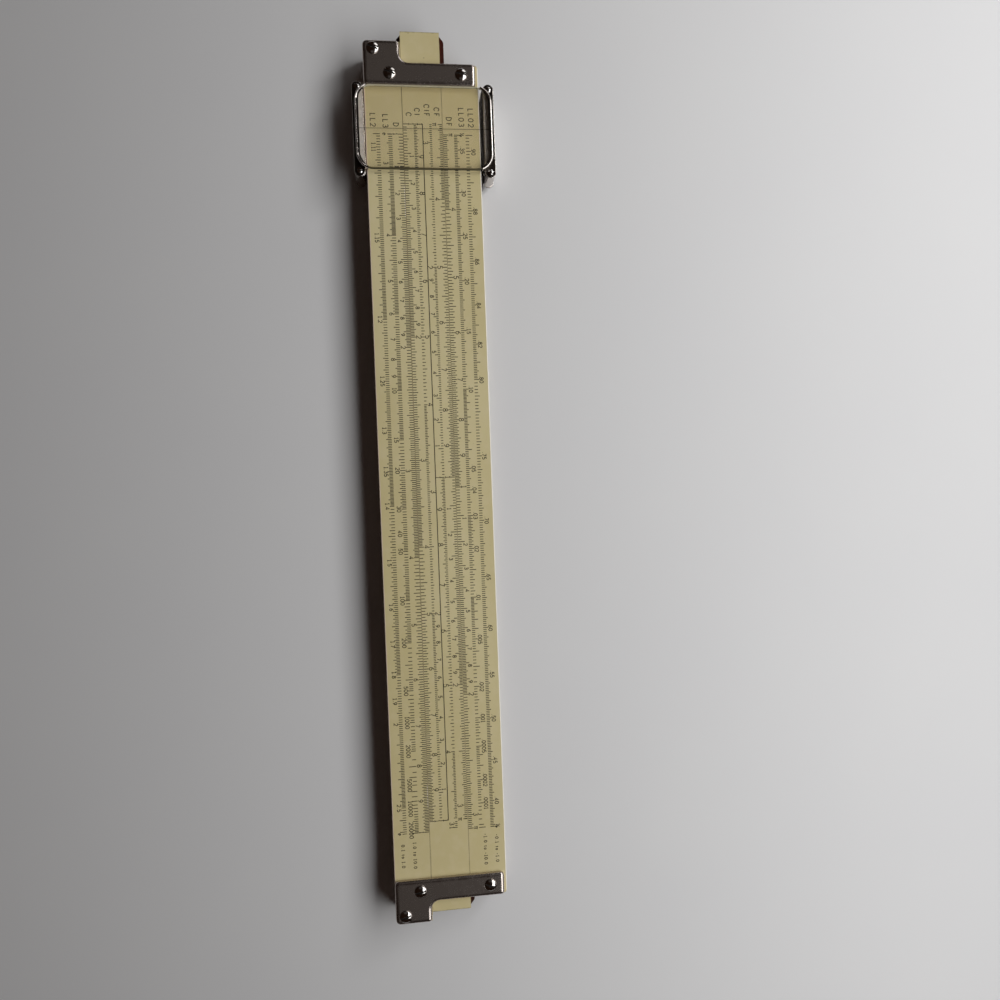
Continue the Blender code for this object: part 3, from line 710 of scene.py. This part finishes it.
for face_name, rise in FRONT_AND_BACK:
    low, high = box(f"cursor_{face_name}_glass")
    make_glass(face_name, rise, low, high)
    for edge, side in LOWER_AND_UPPER:
        make_frame(face_name, rise, edge, side, low, high)

for edge, side in LOWER_AND_UPPER:
    node = f"cursor_{edge}_rail"
    low, high = box(node)
    outline = rounded_box((low.x, high.x), (low.y, high.y), RAIL_WIDTH / 2, 16)
    made = slab(f"{node}_fine", outline, low.z, high.z, CHROME, RAIL_EDGE, RAIL_EDGE)
    weigh_normals(made)
    stand_for(made, node, "cursor")

# Leaf spring between the upper rail and the stock: a bow, and a tail that is folded back
SPRING_THICKNESS, SPRING_CLEARANCE, SPRING_STEPS = 0.25, 0.1, 24
SPRING_CURL, SPRING_RETURN, SPRING_TAIL = 0.35, 2.2, 1.4
low, high = box("cursor_spring")
rail_low, rail_high = box("cursor_upper_rail")
stock_edge = box("upper_stator_front_facing")[1].y
outermost = high.y - SPRING_THICKNESS / 2
bow = outermost - (stock_edge + SPRING_CLEARANCE + SPRING_THICKNESS / 2)
rail_middle, spring_half = (rail_low.x + rail_high.x) / 2, (rail_high.x - rail_low.x - RAIL_WIDTH) / 2
line = []
for step in range(2 * SPRING_STEPS + 1):
    along = step / SPRING_STEPS - 1
    sag = bow * (1 + math.cos(math.pi * along)) / 2
    line.append((rail_middle + spring_half * along, outermost - sag))
line += arc(rail_high.x + SPRING_TAIL, outermost - SPRING_CURL, SPRING_CURL, SPRING_CURL, 90, -90, 14)
line.append((line[-1][0] - SPRING_RETURN, line[-1][1]))
left, right = ribbon(line, SPRING_THICKNESS)
points, faces = prism(left + right[::-1], (low.z, high.z), capped=False)
count = len(left) + len(right)
for first in (0, count):
    faces += [(first + here, first + here + 1, first + count - 2 - here, first + count - 1 - here)
              for here in range(len(left) - 1)]
made = piece("cursor_spring_fine", points, faces, "cursor", SPRING, "spring", smooth=True)
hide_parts("cursor_spring")


# CAD nodes that stay, with their own materials and softened edges
WOOD_EDGE, FACING_EDGE, EDGE_DEGREES = 0.08, 0.05, 35


def dress(node, material, edge):
    made = NODES[node]
    paint(made, material)
    soften = made.modifiers.new("soft edges", "BEVEL")
    soften.width, soften.segments, soften.limit_method = edge * MM, 2, "ANGLE"
    soften.angle_limit = math.radians(EDGE_DEGREES)
    weigh_normals(made)


wood = mahogany("mahogany")
for node in ("lower_stator_core", "upper_stator_core", "slide_core"):
    dress(node, wood, WOOD_EDGE)
# The lower stator's outer edge is rubbed paler. The upper stator's outer edge carries a painted
# highlight, and two short stretches of the lower stator's inner edge carry painted glints.
LOWER_PALE, UPPER_EDGE_HIGHLIGHT, JOINT_GLINT = (0.95, 0.77, 0.64), (0.98, 0.93, 0.84), (1.0, 0.93, 0.76)
for part in ("lower_stator", "upper_stator", "slide"):
    for face_name, rise in FRONT_AND_BACK:
        node = f"{part}_{face_name}_facing"
        low, high = box(node)
        wear_and_highlights = {"lower_stator": ((low.y, 0.4, LOWER_PALE, low.x, high.x),
                                 (high.y, 0.22, JOINT_GLINT, -105, -94),
                                 (high.y, 0.22, JOINT_GLINT, 110, 118)),
                "upper_stator": ((high.y, 0.3, UPPER_EDGE_HIGHLIGHT, low.x, high.x),),
                "slide": ()}[part]
        dress(node, celluloid(f"{node}_celluloid", low, high, wear_and_highlights), FACING_EDGE)

# Wax and dust that has settled against the stators' walls in the joints beside the slide. Its ends are
# given by how much of the joint it fills there and how deep it lies.
WAX_MARGIN, WAX_THICKNESS, WAX_ENDS = 2, 0.6, ((0.5, 0.12), (0.92, 0.01))
wax = printed("joint_wax", (0.42, 0.35, 0.2), (0.3, 0.24, 0.13))
slide_low, slide_high = box("slide_front_facing")
for edge, side in LOWER_AND_UPPER:
    for face_name, rise in FRONT_AND_BACK:
        low, high = box(f"{edge}_stator_{face_name}_facing")
        wall, facing = (high.y, slide_low.y) if side < 0 else (low.y, slide_high.y)
        face = high.z if rise > 0 else low.z
        bottom = face - rise * WAX_THICKNESS
        rings = []
        for x, (share, depth) in zip((low.x + WAX_MARGIN, high.x - WAX_MARGIN), WAX_ENDS):
            reach, top = wall + (facing - wall) * share, face - rise * depth
            rings.append([(x, wall, top), (x, reach, top), (x, reach, bottom), (x, wall, bottom)])
        piece(f"{edge}_stator_{face_name}_wax", *rings_joined(rings), "stock", wax)


# Lettering, light and round like engraver's figures: each glyph's width, and its strokes in a box one
# unit high
GLYPHS = {
    "0": (0.66, [arc(0.33, 0.5, 0.31, 0.5, 0, 360)]),
    "1": (0.46, [[(0.06, 0.82), (0.23, 1), (0.23, 0)], [(0.04, 0), (0.42, 0)]]),
    "2": (0.62, [arc(0.31, 0.71, 0.28, 0.29, 165, -35) + [(0.03, 0), (0.6, 0)]]),
    "3": (0.62, [arc(0.29, 0.75, 0.25, 0.25, 150, -90)[:-1] + arc(0.29, 0.26, 0.3, 0.26, 90, -150)]),
    "4": (0.66, [[(0.62, 0.27), (0.03, 0.27), (0.45, 1), (0.45, 0)]]),
    "5": (0.62, [[(0.54, 1), (0.14, 1), (0.09, 0.55)] + arc(0.29, 0.31, 0.3, 0.31, 125, -150)]),
    "6": (0.64, [arc(0.6, 0.34, 0.56, 0.66, 95, 180)[:-1] + arc(0.32, 0.3, 0.28, 0.3, 180, -175)]),
    "7": (0.6, [[(0.03, 1), (0.57, 1), (0.2, 0)]]),
    "8": (0.64, [arc(0.32, 0.76, 0.23, 0.24, 0, 360), arc(0.32, 0.26, 0.29, 0.26, 0, 360)]),
    "9": (0.64, [arc(0.04, 0.66, 0.56, 0.66, -85, 0)[:-1] + arc(0.32, 0.7, 0.28, 0.3, 0, 355)]),
    ".": (0.2, [[(0.05, 0.05), (0.15, 0.05)]]),
    "-": (0.42, [[(0.03, 0.45), (0.39, 0.45)]]),
    " ": (0.3, []),
    "p": (0.66, [[(0.0, 0.58), (0.08, 0.68), (0.66, 0.68)], [(0.2, 0.68), (0.12, 0)],
                 [(0.46, 0.68), (0.46, 0.1), (0.56, 0)]]),
    "e": (0.54, [[(0.04, 0.36), (0.5, 0.36)] + arc(0.27, 0.33, 0.24, 0.33, 5, 310)]),
    "t": (0.36, [[(0.16, 0.88), (0.16, 0.1), (0.34, 0)], [(0.02, 0.64), (0.34, 0.64)]]),
    "o": (0.56, [arc(0.28, 0.32, 0.25, 0.32, 0, 360)]),
    "L": (0.56, [[(0.08, 1), (0.08, 0), (0.54, 0)]]),
    "D": (0.72, [[(0.08, 0), (0.08, 1), (0.3, 1)] + arc(0.3, 0.5, 0.36, 0.5, 80, -80)
                 + [(0.3, 0), (0.08, 0)]]),
    "C": (0.72, [[(0.64, 0.74)] + arc(0.38, 0.5, 0.34, 0.5, 42, 318)]),
    "I": (0.16, [[(0.08, 0), (0.08, 1)]]),
    "F": (0.56, [[(0.08, 0), (0.08, 1), (0.56, 1)], [(0.08, 0.52), (0.44, 0.52)]]),
    "K": (0.68, [[(0.14, 0), (0.14, 1)], [(0.6, 1), (0.16, 0.42)], [(0.28, 0.56), (0.64, 0)]]),
    "A": (0.72, [[(0.04, 0), (0.36, 1), (0.68, 0)], [(0.16, 0.34), (0.56, 0.34)]]),
    "B": (0.64, [[(0.14, 0), (0.14, 1), (0.34, 1)] + arc(0.34, 0.76, 0.22, 0.24, 90, -90)
                 + [(0.14, 0.52)],
                 [(0.34, 0.52)] + arc(0.34, 0.26, 0.26, 0.26, 90, -90) + [(0.14, 0)]]),
    "S": (0.6, [arc(0.3, 0.76, 0.24, 0.24, 30, 235)[:-1] + arc(0.3, 0.25, 0.26, 0.25, 65, -150)]),
    "T": (0.68, [[(0.02, 0.84), (0.04, 1), (0.64, 1), (0.66, 0.84)], [(0.34, 1), (0.34, 0)],
                 [(0.2, 0), (0.48, 0)]]),
    "1/e": (1.25, [[(0.12, 0.95), (0.24, 1.08), (0.24, 0.5)], [(0.16, 0.0), (0.78, 0.98)],
                   [(0.66, 0.2), (0.98, 0.2)] + arc(0.82, 0.18, 0.17, 0.22, 5, 310)]),
}
LETTER_GAP, WIDE_GAP = 0.22, 0.42
STROKE = 0.245


# Where the scales are
SCALE = 250.0
STOCK_START = -122.975
SLIDE_START = -126.625
STOCK_LOWER, STOCK_UPPER = -20.825, 19.775
LEVELS = {"lower": (11.05, 2.45), "upper": (11.05, 2.45), "slide": (11.0, 2.5)}
INK_HEIGHTS = (-0.01, 0.012)


class Print:
    """Thin closed blocks of ink on a stator or the slide, gathered into one mesh. x counts from where
    the scales start and y from the stock's edge nearest the reader."""

    def __init__(self, name, carrier, rise):
        self.name, self.rise = name, rise
        self.body = "slide" if carrier == "slide" else "stock"
        self.start = SLIDE_START if carrier == "slide" else STOCK_START
        self.nearest = STOCK_LOWER if rise > 0 else -STOCK_UPPER
        self.level = LEVELS[carrier][0 if rise > 0 else 1]
        self.points, self.faces = [], []

    def add(self, points, faces):
        offset = len(self.points)
        self.points += points
        self.faces += [tuple(offset + index for index in face) for face in faces]

    def block(self, outline):
        """The outline at the ink's underside and at its top."""
        return [[(x + self.start, self.rise * (y + self.nearest), self.level + self.rise * height)
                 for x, y in outline] for height in INK_HEIGHTS]

    def bar(self, left, right, bottom, top):
        outline = ((left, bottom), (right, bottom), (right, top), (left, top))
        self.add(*rings_joined(self.block(outline)))

    def stroke(self, line, width):
        closed = len(line) > 3 and (Vector(line[0]) - Vector(line[-1])).length < 1e-4
        line = line[:-1] if closed else line
        left, right = ribbon(line, width, closed)
        count = len(line)
        below, above = self.block(left + right)
        faces = []
        for here in range(count if closed else count - 1):
            there = (here + 1) % count
            a, b, c, d = here, there, count + there, count + here
            faces += [(a, b, c, d), (2 * count + a, 2 * count + b, 2 * count + c, 2 * count + d),
                      (a, b, 2 * count + b, 2 * count + a), (d, c, 2 * count + c, 2 * count + d)]
        if not closed:
            for here in (0, count - 1):
                faces.append((here, count + here, 3 * count + here, 2 * count + here))
        self.add(below + above, faces)

    def text(self, words, x, y, height, stroke=STROKE, align=0.5, gap=LETTER_GAP):
        """words with their middle at y, and at x their left end, middle or right end by align."""
        width = sum(GLYPHS[letter][0] + gap for letter in words) - gap
        at = x - width * height * align
        for letter in words:
            advance, strokes = GLYPHS[letter]
            for line in strokes:
                self.stroke([(at + height * a, y + height * (b - 0.5)) for a, b in line], stroke)
            at += height * (advance + gap)

    def done(self):
        piece(self.name, self.points, self.faces, self.body, INK)


# Scales: where a value stands, counted from the left index

def basic(value):
    return SCALE * math.log10(value)


def inverse(value):
    return SCALE * (1 - math.log10(value))


def folded(value):
    return SCALE * (math.log10(value / math.pi) % 1)


def folded_inverse(value):
    return SCALE * (-math.log10(value * math.pi) % 1)


def log_log(decade):
    return lambda value: SCALE * (decade + math.log10(abs(math.log(value))))


def cycles(count):
    return lambda value: SCALE / count * math.log10(value)


def sines(degrees):
    return SCALE * (1 + math.log10(math.sin(math.radians(degrees))))


def tangents(degrees):
    return SCALE * (1 + math.log10(math.tan(math.radians(degrees))))


def small_angles(degrees):
    return SCALE * (2 + math.log10(math.radians(degrees)))


def even(value):
    return SCALE * value


def subdivisions(spans):
    """Every marked value and its rank, 0 short to 2 long, from the spans of a scale: their start, end,
    step, and the steps of their middle and long marks."""
    marks = {}
    for start, end, step, middle, long in spans:
        for index in range(math.ceil(start / step - 1e-6), math.floor(end / step + 1e-6) + 1):
            rank = 2 if index % round(long / step) == 0 else int(index % round(middle / step) == 0)
            value = round(index * step, 9)
            marks[value] = max(rank, marks.get(value, 0))
    return marks


def index_mark(value):
    """A span with one long mark."""
    return (value,) * 5


E = math.e
TEN = ((1, 2, .01, .05, .1), (2, 4, .02, .1, .5), (4, 10, .05, .1, .5))
LL2 = ((E ** .1, 1.2, .001, .005, .01), (1.2, 1.4, .002, .01, .05), (1.4, 1.8, .005, .01, .05),
       (1.8, 2.5, .01, .05, .1), (2.5, E, .02, .1, .1), index_mark(E ** .1))
LL3 = ((E, 4, .02, .1, .5), (4, 6, .05, .1, .5), (6, 10, .1, .5, 1), (10, 15, .2, 1, 5),
       (15, 30, .5, 1, 5), (30, 50, 1, 5, 10), (50, 100, 2, 10, 50), (100, 200, 5, 10, 50),
       (200, 500, 20, 100, 100), (500, 1000, 50, 100, 500), (1000, 2000, 100, 500, 1000),
       (2000, 5000, 500, 1000, 1000), (5000, 10000, 1000, 1000, 5000),
       (10000, 22000, 1000, 5000, 10000), index_mark(E ** 10))
LL02 = ((.80, E ** -.1, .001, .005, .01), (1 / E, .80, .002, .01, .05),
        index_mark(E ** -.1), index_mark(1 / E))
LL03 = ((.1, 1 / E, .002, .01, .05), (.03, .1, .001, .005, .01), (.01, .03, .0005, .001, .005),
        (.002, .01, .0002, .001, .001), (.001, .002, .0001, .0005, .001),
        (.0005, .001, .00005, .0001, .0005), (.0002, .0005, .00002, .0001, .0001),
        (E ** -10, .0002, .00001, .00005, .0001), index_mark(1 / E), index_mark(E ** -10))
LL1 = ((1.0101, 1.02, .0001, .0005, .001), (1.02, 1.05, .0002, .001, .005),
       (1.05, E ** .1, .0005, .001, .005), index_mark(E ** .01), index_mark(E ** .1))
SQUARES = ((1, 2, .02, .1, .5), (2, 5, .05, .1, .5), (5, 10, .1, .5, 1),
           (10, 20, .2, 1, 5), (20, 50, .5, 1, 5), (50, 100, 1, 5, 10))
CUBES = tuple(tuple(value * decade for value in span) for decade in (1, 10, 100)
              for span in ((1, 3, .05, .1, .5), (3, 6, .1, .5, 1), (6, 10, .2, 1, 1)))
SINES = ((5.75, 10, .05, .1, .5), (10, 20, .1, .5, 1), (20, 30, .2, 1, 5), (30, 60, .5, 1, 5),
         (60, 80, 1, 5, 10), (80, 90, 5, 10, 10))
TANGENTS = ((5.75, 10, .05, .1, .5), (10, 20, .1, .5, 1), (20, 45, .2, 1, 5))
SMALL = ((.58, 1, .01, .05, .1), (1, 2, .02, .1, .5), (2, 5.7, .05, .1, .5))
LINEAR = ((0, 1, .002, .01, .05),)

DIGITS = {value: str(value) for value in range(1, 10)}
WITH_TEN, WITH_PI = {**DIGITS, 10: "1"}, {**DIGITS, math.pi: "p"}


def labels(words):
    """{value: text} from a string of numbers."""
    return {float(word): word for word in words.split()}


def first_digits(decades):
    """{value: its first digit} over that many decades."""
    digits = {digit * 10 ** decade: str(digit) for decade in range(decades) for digit in range(1, 10)}
    return digits | {10 ** decades: "1"}


# ticks: how long the short, middle, long and numbered marks are, from the foot in the direction grows.
# height: how high the numbers are. tenths: which side of their mark the small figures between 1 and 2
# stand on, if there are any.
CIF_FOOT = 23.4
Row = namedtuple("Row", "name carrier place spans foot grows ticks height numbers tenths")
ROWS = {1: (
    Row("ll2", "lower", log_log(1), LL2, 5.05, -1, (1.3, 1.9, 2.4, 1.55), 1.35,
        {**labels("1.11 1.15 1.2 1.25 1.3 1.35 1.4 1.5 1.6 1.7 1.8 1.9 2 2.5"), E: "e"}, 0),
    Row("ll3", "lower", log_log(0), LL3, 9.35, -1, (1.4, 2.0, 2.6, 1.75), 1.4,
        {**labels("3 4 5 6 7 8 9 10 15 20 30 40 50 100 200 500 1000 2000 5000 10000 20000"), E: "e"},
        0),
    Row("d", "lower", basic, TEN, 13.1, -1, (1.45, 1.9, 2.3, 1.75), 1.5, WITH_TEN, 1),
    Row("c", "slide", basic, TEN, 13.35, 1, (1.25, 1.75, 2.4, 1.75), 1.7, WITH_TEN, 1),
    Row("ci", "slide", inverse, TEN, 17.05, 1, (0.85, 1.2, 1.6, 1.2), 1.7, WITH_TEN, -1),
    Row("cif", "slide", folded_inverse, TEN, CIF_FOOT, -1, (0.8, 1.2, 1.8, 1.3), 1.7, DIGITS, -1),
    Row("cf", "slide", folded, TEN, 27.1, -1, (1.0, 1.5, 2.2, 1.5), 1.7, WITH_PI, 1),
    Row("df", "upper", folded, TEN, 27.38, 1, (1.3, 1.8, 2.4, 1.8), 1.7, WITH_PI, 1),
    Row("ll03", "upper", log_log(0), LL03, 31.25, 1, (1.15, 1.7, 2.35, 1.95), 1.35,
        {**labels(".35 .30 .25 .20 .15 .10 .05 .04 .03 .02 .01 .005 .002 .001 .0005 .0002 .0001"),
         1 / E: ["1/e"]}, 0),
    Row("ll02", "upper", log_log(1), LL02, 35.4, 1, (1.2, 1.75, 2.4, 1.75), 1.35,
        {**labels(".90 .88 .86 .84 .82 .80 .75 .70 .65 .60 .55 .50 .45 .40"), 1 / E: ["1/e"]}, 0),
), -1: (
    Row("ll1", "upper", log_log(2), LL1, 5.0, -1, (1.2, 1.75, 2.4, 1.75), 1.5,
        labels("1.015 1.02 1.025 1.03 1.035 1.04 1.045 1.05 1.06 1.07 1.08 1.09 1.1"), 0),
    Row("di", "upper", inverse, TEN, 9.1, -1, (1.1, 1.6, 2.1, 1.7), 1.7, WITH_TEN, -1),
    Row("d", "upper", basic, TEN, 13.2, -1, (1.4, 1.85, 2.3, 1.9), 1.7, WITH_TEN, 1),
    Row("s", "slide", sines, SINES, 13.55, 1, (1.2, 1.75, 2.2, 1.7), 1.4,
        labels("6 7 8 9 10 12 14 16 18 20 25 30 35 40 50 60 70 90"), 0),
    Row("st", "slide", small_angles, SMALL, 17.3, 1, (0.8, 1.1, 1.5, 1.0), 1.3,
        labels(".6 .7 .8 .9 1 1.5 2 2.5 3 4 5"), 0),
    Row("t", "slide", tangents, TANGENTS, 23.45, -1, (0.9, 1.25, 1.6, 1.1), 1.3,
        labels("6 7 8 9 10 12 14 16 18 20 25 30 35 40 45"), 0),
    Row("b", "slide", cycles(2), SQUARES, 27.2, -1, (1.2, 1.6, 2.2, 1.7), 1.7, first_digits(2), 0),
    Row("a", "lower", cycles(2), SQUARES, 27.65, 1, (1.2, 1.6, 2.2, 1.7), 1.7, first_digits(2), 0),
    Row("k", "lower", cycles(3), CUBES, 31.5, 1, (1.1, 1.6, 2.2, 1.7), 1.7, first_digits(3), 0),
    Row("l", "lower", even, LINEAR, 35.6, 1, (1.1, 1.6, 2.2, 1.7), 1.7,
        labels("0 .1 .2 .3 .4 .5 .6 .7 .8 .9 1"), 0),
)}
TICK_WIDTH, NUMBER_GAP = 0.26, 0.18
TENTH_HEIGHT, TENTH_ASIDE, TENTH_DROP = 1.28, 1.05, 0.35


def draw_row(row, face_name, rise):
    """One scale's marks and its numbers, as two pieces."""
    marks = Print(f"{face_name}_{row.name}_marks", row.carrier, rise)
    numbers = Print(f"{face_name}_{row.name}_numbers", row.carrier, rise)
    numbered = row.ticks[3]
    ranks = subdivisions(row.spans)
    for value in row.numbers:
        ranks.setdefault(value, 3)
    places = []
    for value, rank in ranks.items():
        length = numbered if value in row.numbers else row.ticks[rank]
        where = row.place(value)
        places.append((where, length))
        if abs(where) < 1e-6 and row.place in (folded, folded_inverse):
            places.append((SCALE, length))
    for where, length in places:
        ends = sorted((row.foot, row.foot + row.grows * length))
        marks.bar(where - TICK_WIDTH / 2, where + TICK_WIDTH / 2, *ends)
    reach = numbered + NUMBER_GAP + row.height / 2
    drawn = [(row.place(value), word, row.height, reach) for value, word in row.numbers.items()]
    drawn += [(SCALE, *rest) for where, *rest in drawn if where < 1e-6 and rest[0] == "p"]
    if row.tenths:
        reach = row.ticks[2] - TENTH_DROP + TENTH_HEIGHT / 2
        for tenth in range(1, 10):
            where = row.place(1 + tenth / 10) + row.tenths * TENTH_ASIDE
            drawn.append((where, str(tenth), TENTH_HEIGHT, reach))
    for where, word, height, reach in drawn:
        numbers.text(word, where, row.foot + row.grows * reach, height)
    marks.done()
    numbers.done()


for face_name, rise in FRONT_AND_BACK:
    for row in ROWS[rise]:
        draw_row(row, face_name, rise)

# The line between the inverse scales with its index marks, the marks past the inverse folded scale's
# end, and two marks on the slide's left end
LINE_Y = 20.0
line = Print("front_slide_line", "slide", 1)
line.bar(-TICK_WIDTH / 2, SCALE + TICK_WIDTH / 2, LINE_Y, LINE_Y + 0.3)
for x in (0, SCALE):
    line.bar(x - TICK_WIDTH / 2, x + TICK_WIDTH / 2, 18.2, LINE_Y + 0.05)
for value, length in ((3.16, 0.8), (3.14, 0.8), (3.12, 0.8), (3.1, 1.5)):
    x = SCALE + folded_inverse(value)
    line.bar(x - TICK_WIDTH / 2, x + TICK_WIDTH / 2, CIF_FOOT - length, CIF_FOOT)
line.text("31", 252.1, 21.4, 1.6, gap=0.35)
for x, y in ((-32.3, 16.3), (-23.7, 21.6)):
    line.bar(x - 0.13, x + 0.13, y - 0.12, y + 0.1)
line.done()

# Each scale's name at its left end and range at its right end
NAME_HEIGHT, NAME_STROKE, NAME_INSET = 1.8, 0.28, 0.3
RANGE_HEIGHT, RANGE_STROKE, RANGE_MIDDLE = 1.05, 0.23, 258.1
NAMES = (("LL2", "lower", -7.5, 2.75), ("LL3", "lower", -7.2, 7.15), ("D", "lower", -4.3, 10.8),
         ("C", "slide", -4.35, 15.4), ("CI", "slide", -5.95, 18.4), ("CIF", "slide", -7.35, 21.8),
         ("CF", "slide", -6.3, 25.3), ("DF", "upper", -6.6, 29.6), ("LL03", "upper", -9.95, 34.05),
         ("LL02", "upper", -9.8, 37.45))
RANGES = (("0.1 to 1.0", "lower", 3.5), ("1.0 to 10.0", "lower", 7.7),
          ("-1.0 to -10.0", "upper", 33.35), ("-0.1 to -1.0", "upper", 37.55))
BACK_NAMES = tuple((name, on, -2.5 - 1.6 * len(name), y) for name, on, y in (
    ("LL1", "upper", 2.9), ("DI", "upper", 7.0), ("D", "upper", 11.0), ("S", "slide", 15.6),
    ("ST", "slide", 18.6), ("T", "slide", 21.8), ("B", "slide", 25.2), ("A", "lower", 29.8),
    ("K", "lower", 33.6), ("L", "lower", 37.6)))
for face_name, rise, names, ranges in (("front", 1, NAMES, RANGES), ("back", -1, BACK_NAMES, ())):
    for carrier in ("lower", "slide", "upper"):
        words = Print(f"{face_name}_{carrier}_names", carrier, rise)
        for word, on, x, y in names:
            if on == carrier:
                words.text(word, x + NAME_INSET, y, NAME_HEIGHT, NAME_STROKE, align=0, gap=WIDE_GAP)
        for word, on, y in ranges:
            if on == carrier:
                words.text(word, RANGE_MIDDLE, y, RANGE_HEIGHT, RANGE_STROKE, gap=WIDE_GAP)
        words.done()


# Floor
FLOOR_HALF, FLOOR_LEVEL = 1500, -0.02
corners = [(x * FLOOR_HALF, y * FLOOR_HALF, FLOOR_LEVEL)
           for x, y in ((-1, -1), (1, -1), (1, 1), (-1, 1))]
look = Look("floor_paint", roughness=0.7)
look.set("Base Color", look.mix(look.noise(60), (0.78, 0.78, 0.79), (0.81, 0.81, 0.81)))
floor = piece("floor", corners, [(0, 1, 2, 3)], None, look.material)

# Lamps, in metres and watts, each turned to the middle of the rule
LAMPS = (("window", (0.9, 0.25), 2.2, (0.03, 0.322, 0.352)),
         ("lamp", (0.12, 0.12), 0.36, (-0.36, 0.42, 0.32)),
         ("low_window", (0.3, 0.3), 0.45, (-0.75, 0.33, 0.22)))
for name, sides, energy, place in LAMPS:
    lamp = new_object(name, bpy.data.lights.new(name, "AREA"))
    lamp.data.shape = "RECTANGLE"
    lamp.data.size, lamp.data.size_y = sides
    lamp.data.energy = energy
    lamp.location = place
    lamp.rotation_euler = (-lamp.location).to_track_quat("-Z", "Y").to_euler()

# A dark warm room, with two pale patches of ceiling above the rule's left and right
ROOM, CEILING = (0.013, 0.0065, 0.004), (0.070, 0.063, 0.058)
world = bpy.data.worlds.new("room")
bpy.context.scene.world = world
world.use_nodes = True
room = Nodes(world.node_tree, "Generated")
x, y, z = room.axes()
overhead = room.spread(z, 0.70, 0.85)
aside = room.spread(room.math("ABSOLUTE", x), 0.24, 0.42)
between = room.spread(room.math("ABSOLUTE", y), 0.2, 0.4, 1.0, 0.0)
patch = room.times(room.times(overhead, aside), between)
room.feed(room.tree.nodes["Background"].inputs[0], room.mix(patch, ROOM, CEILING))
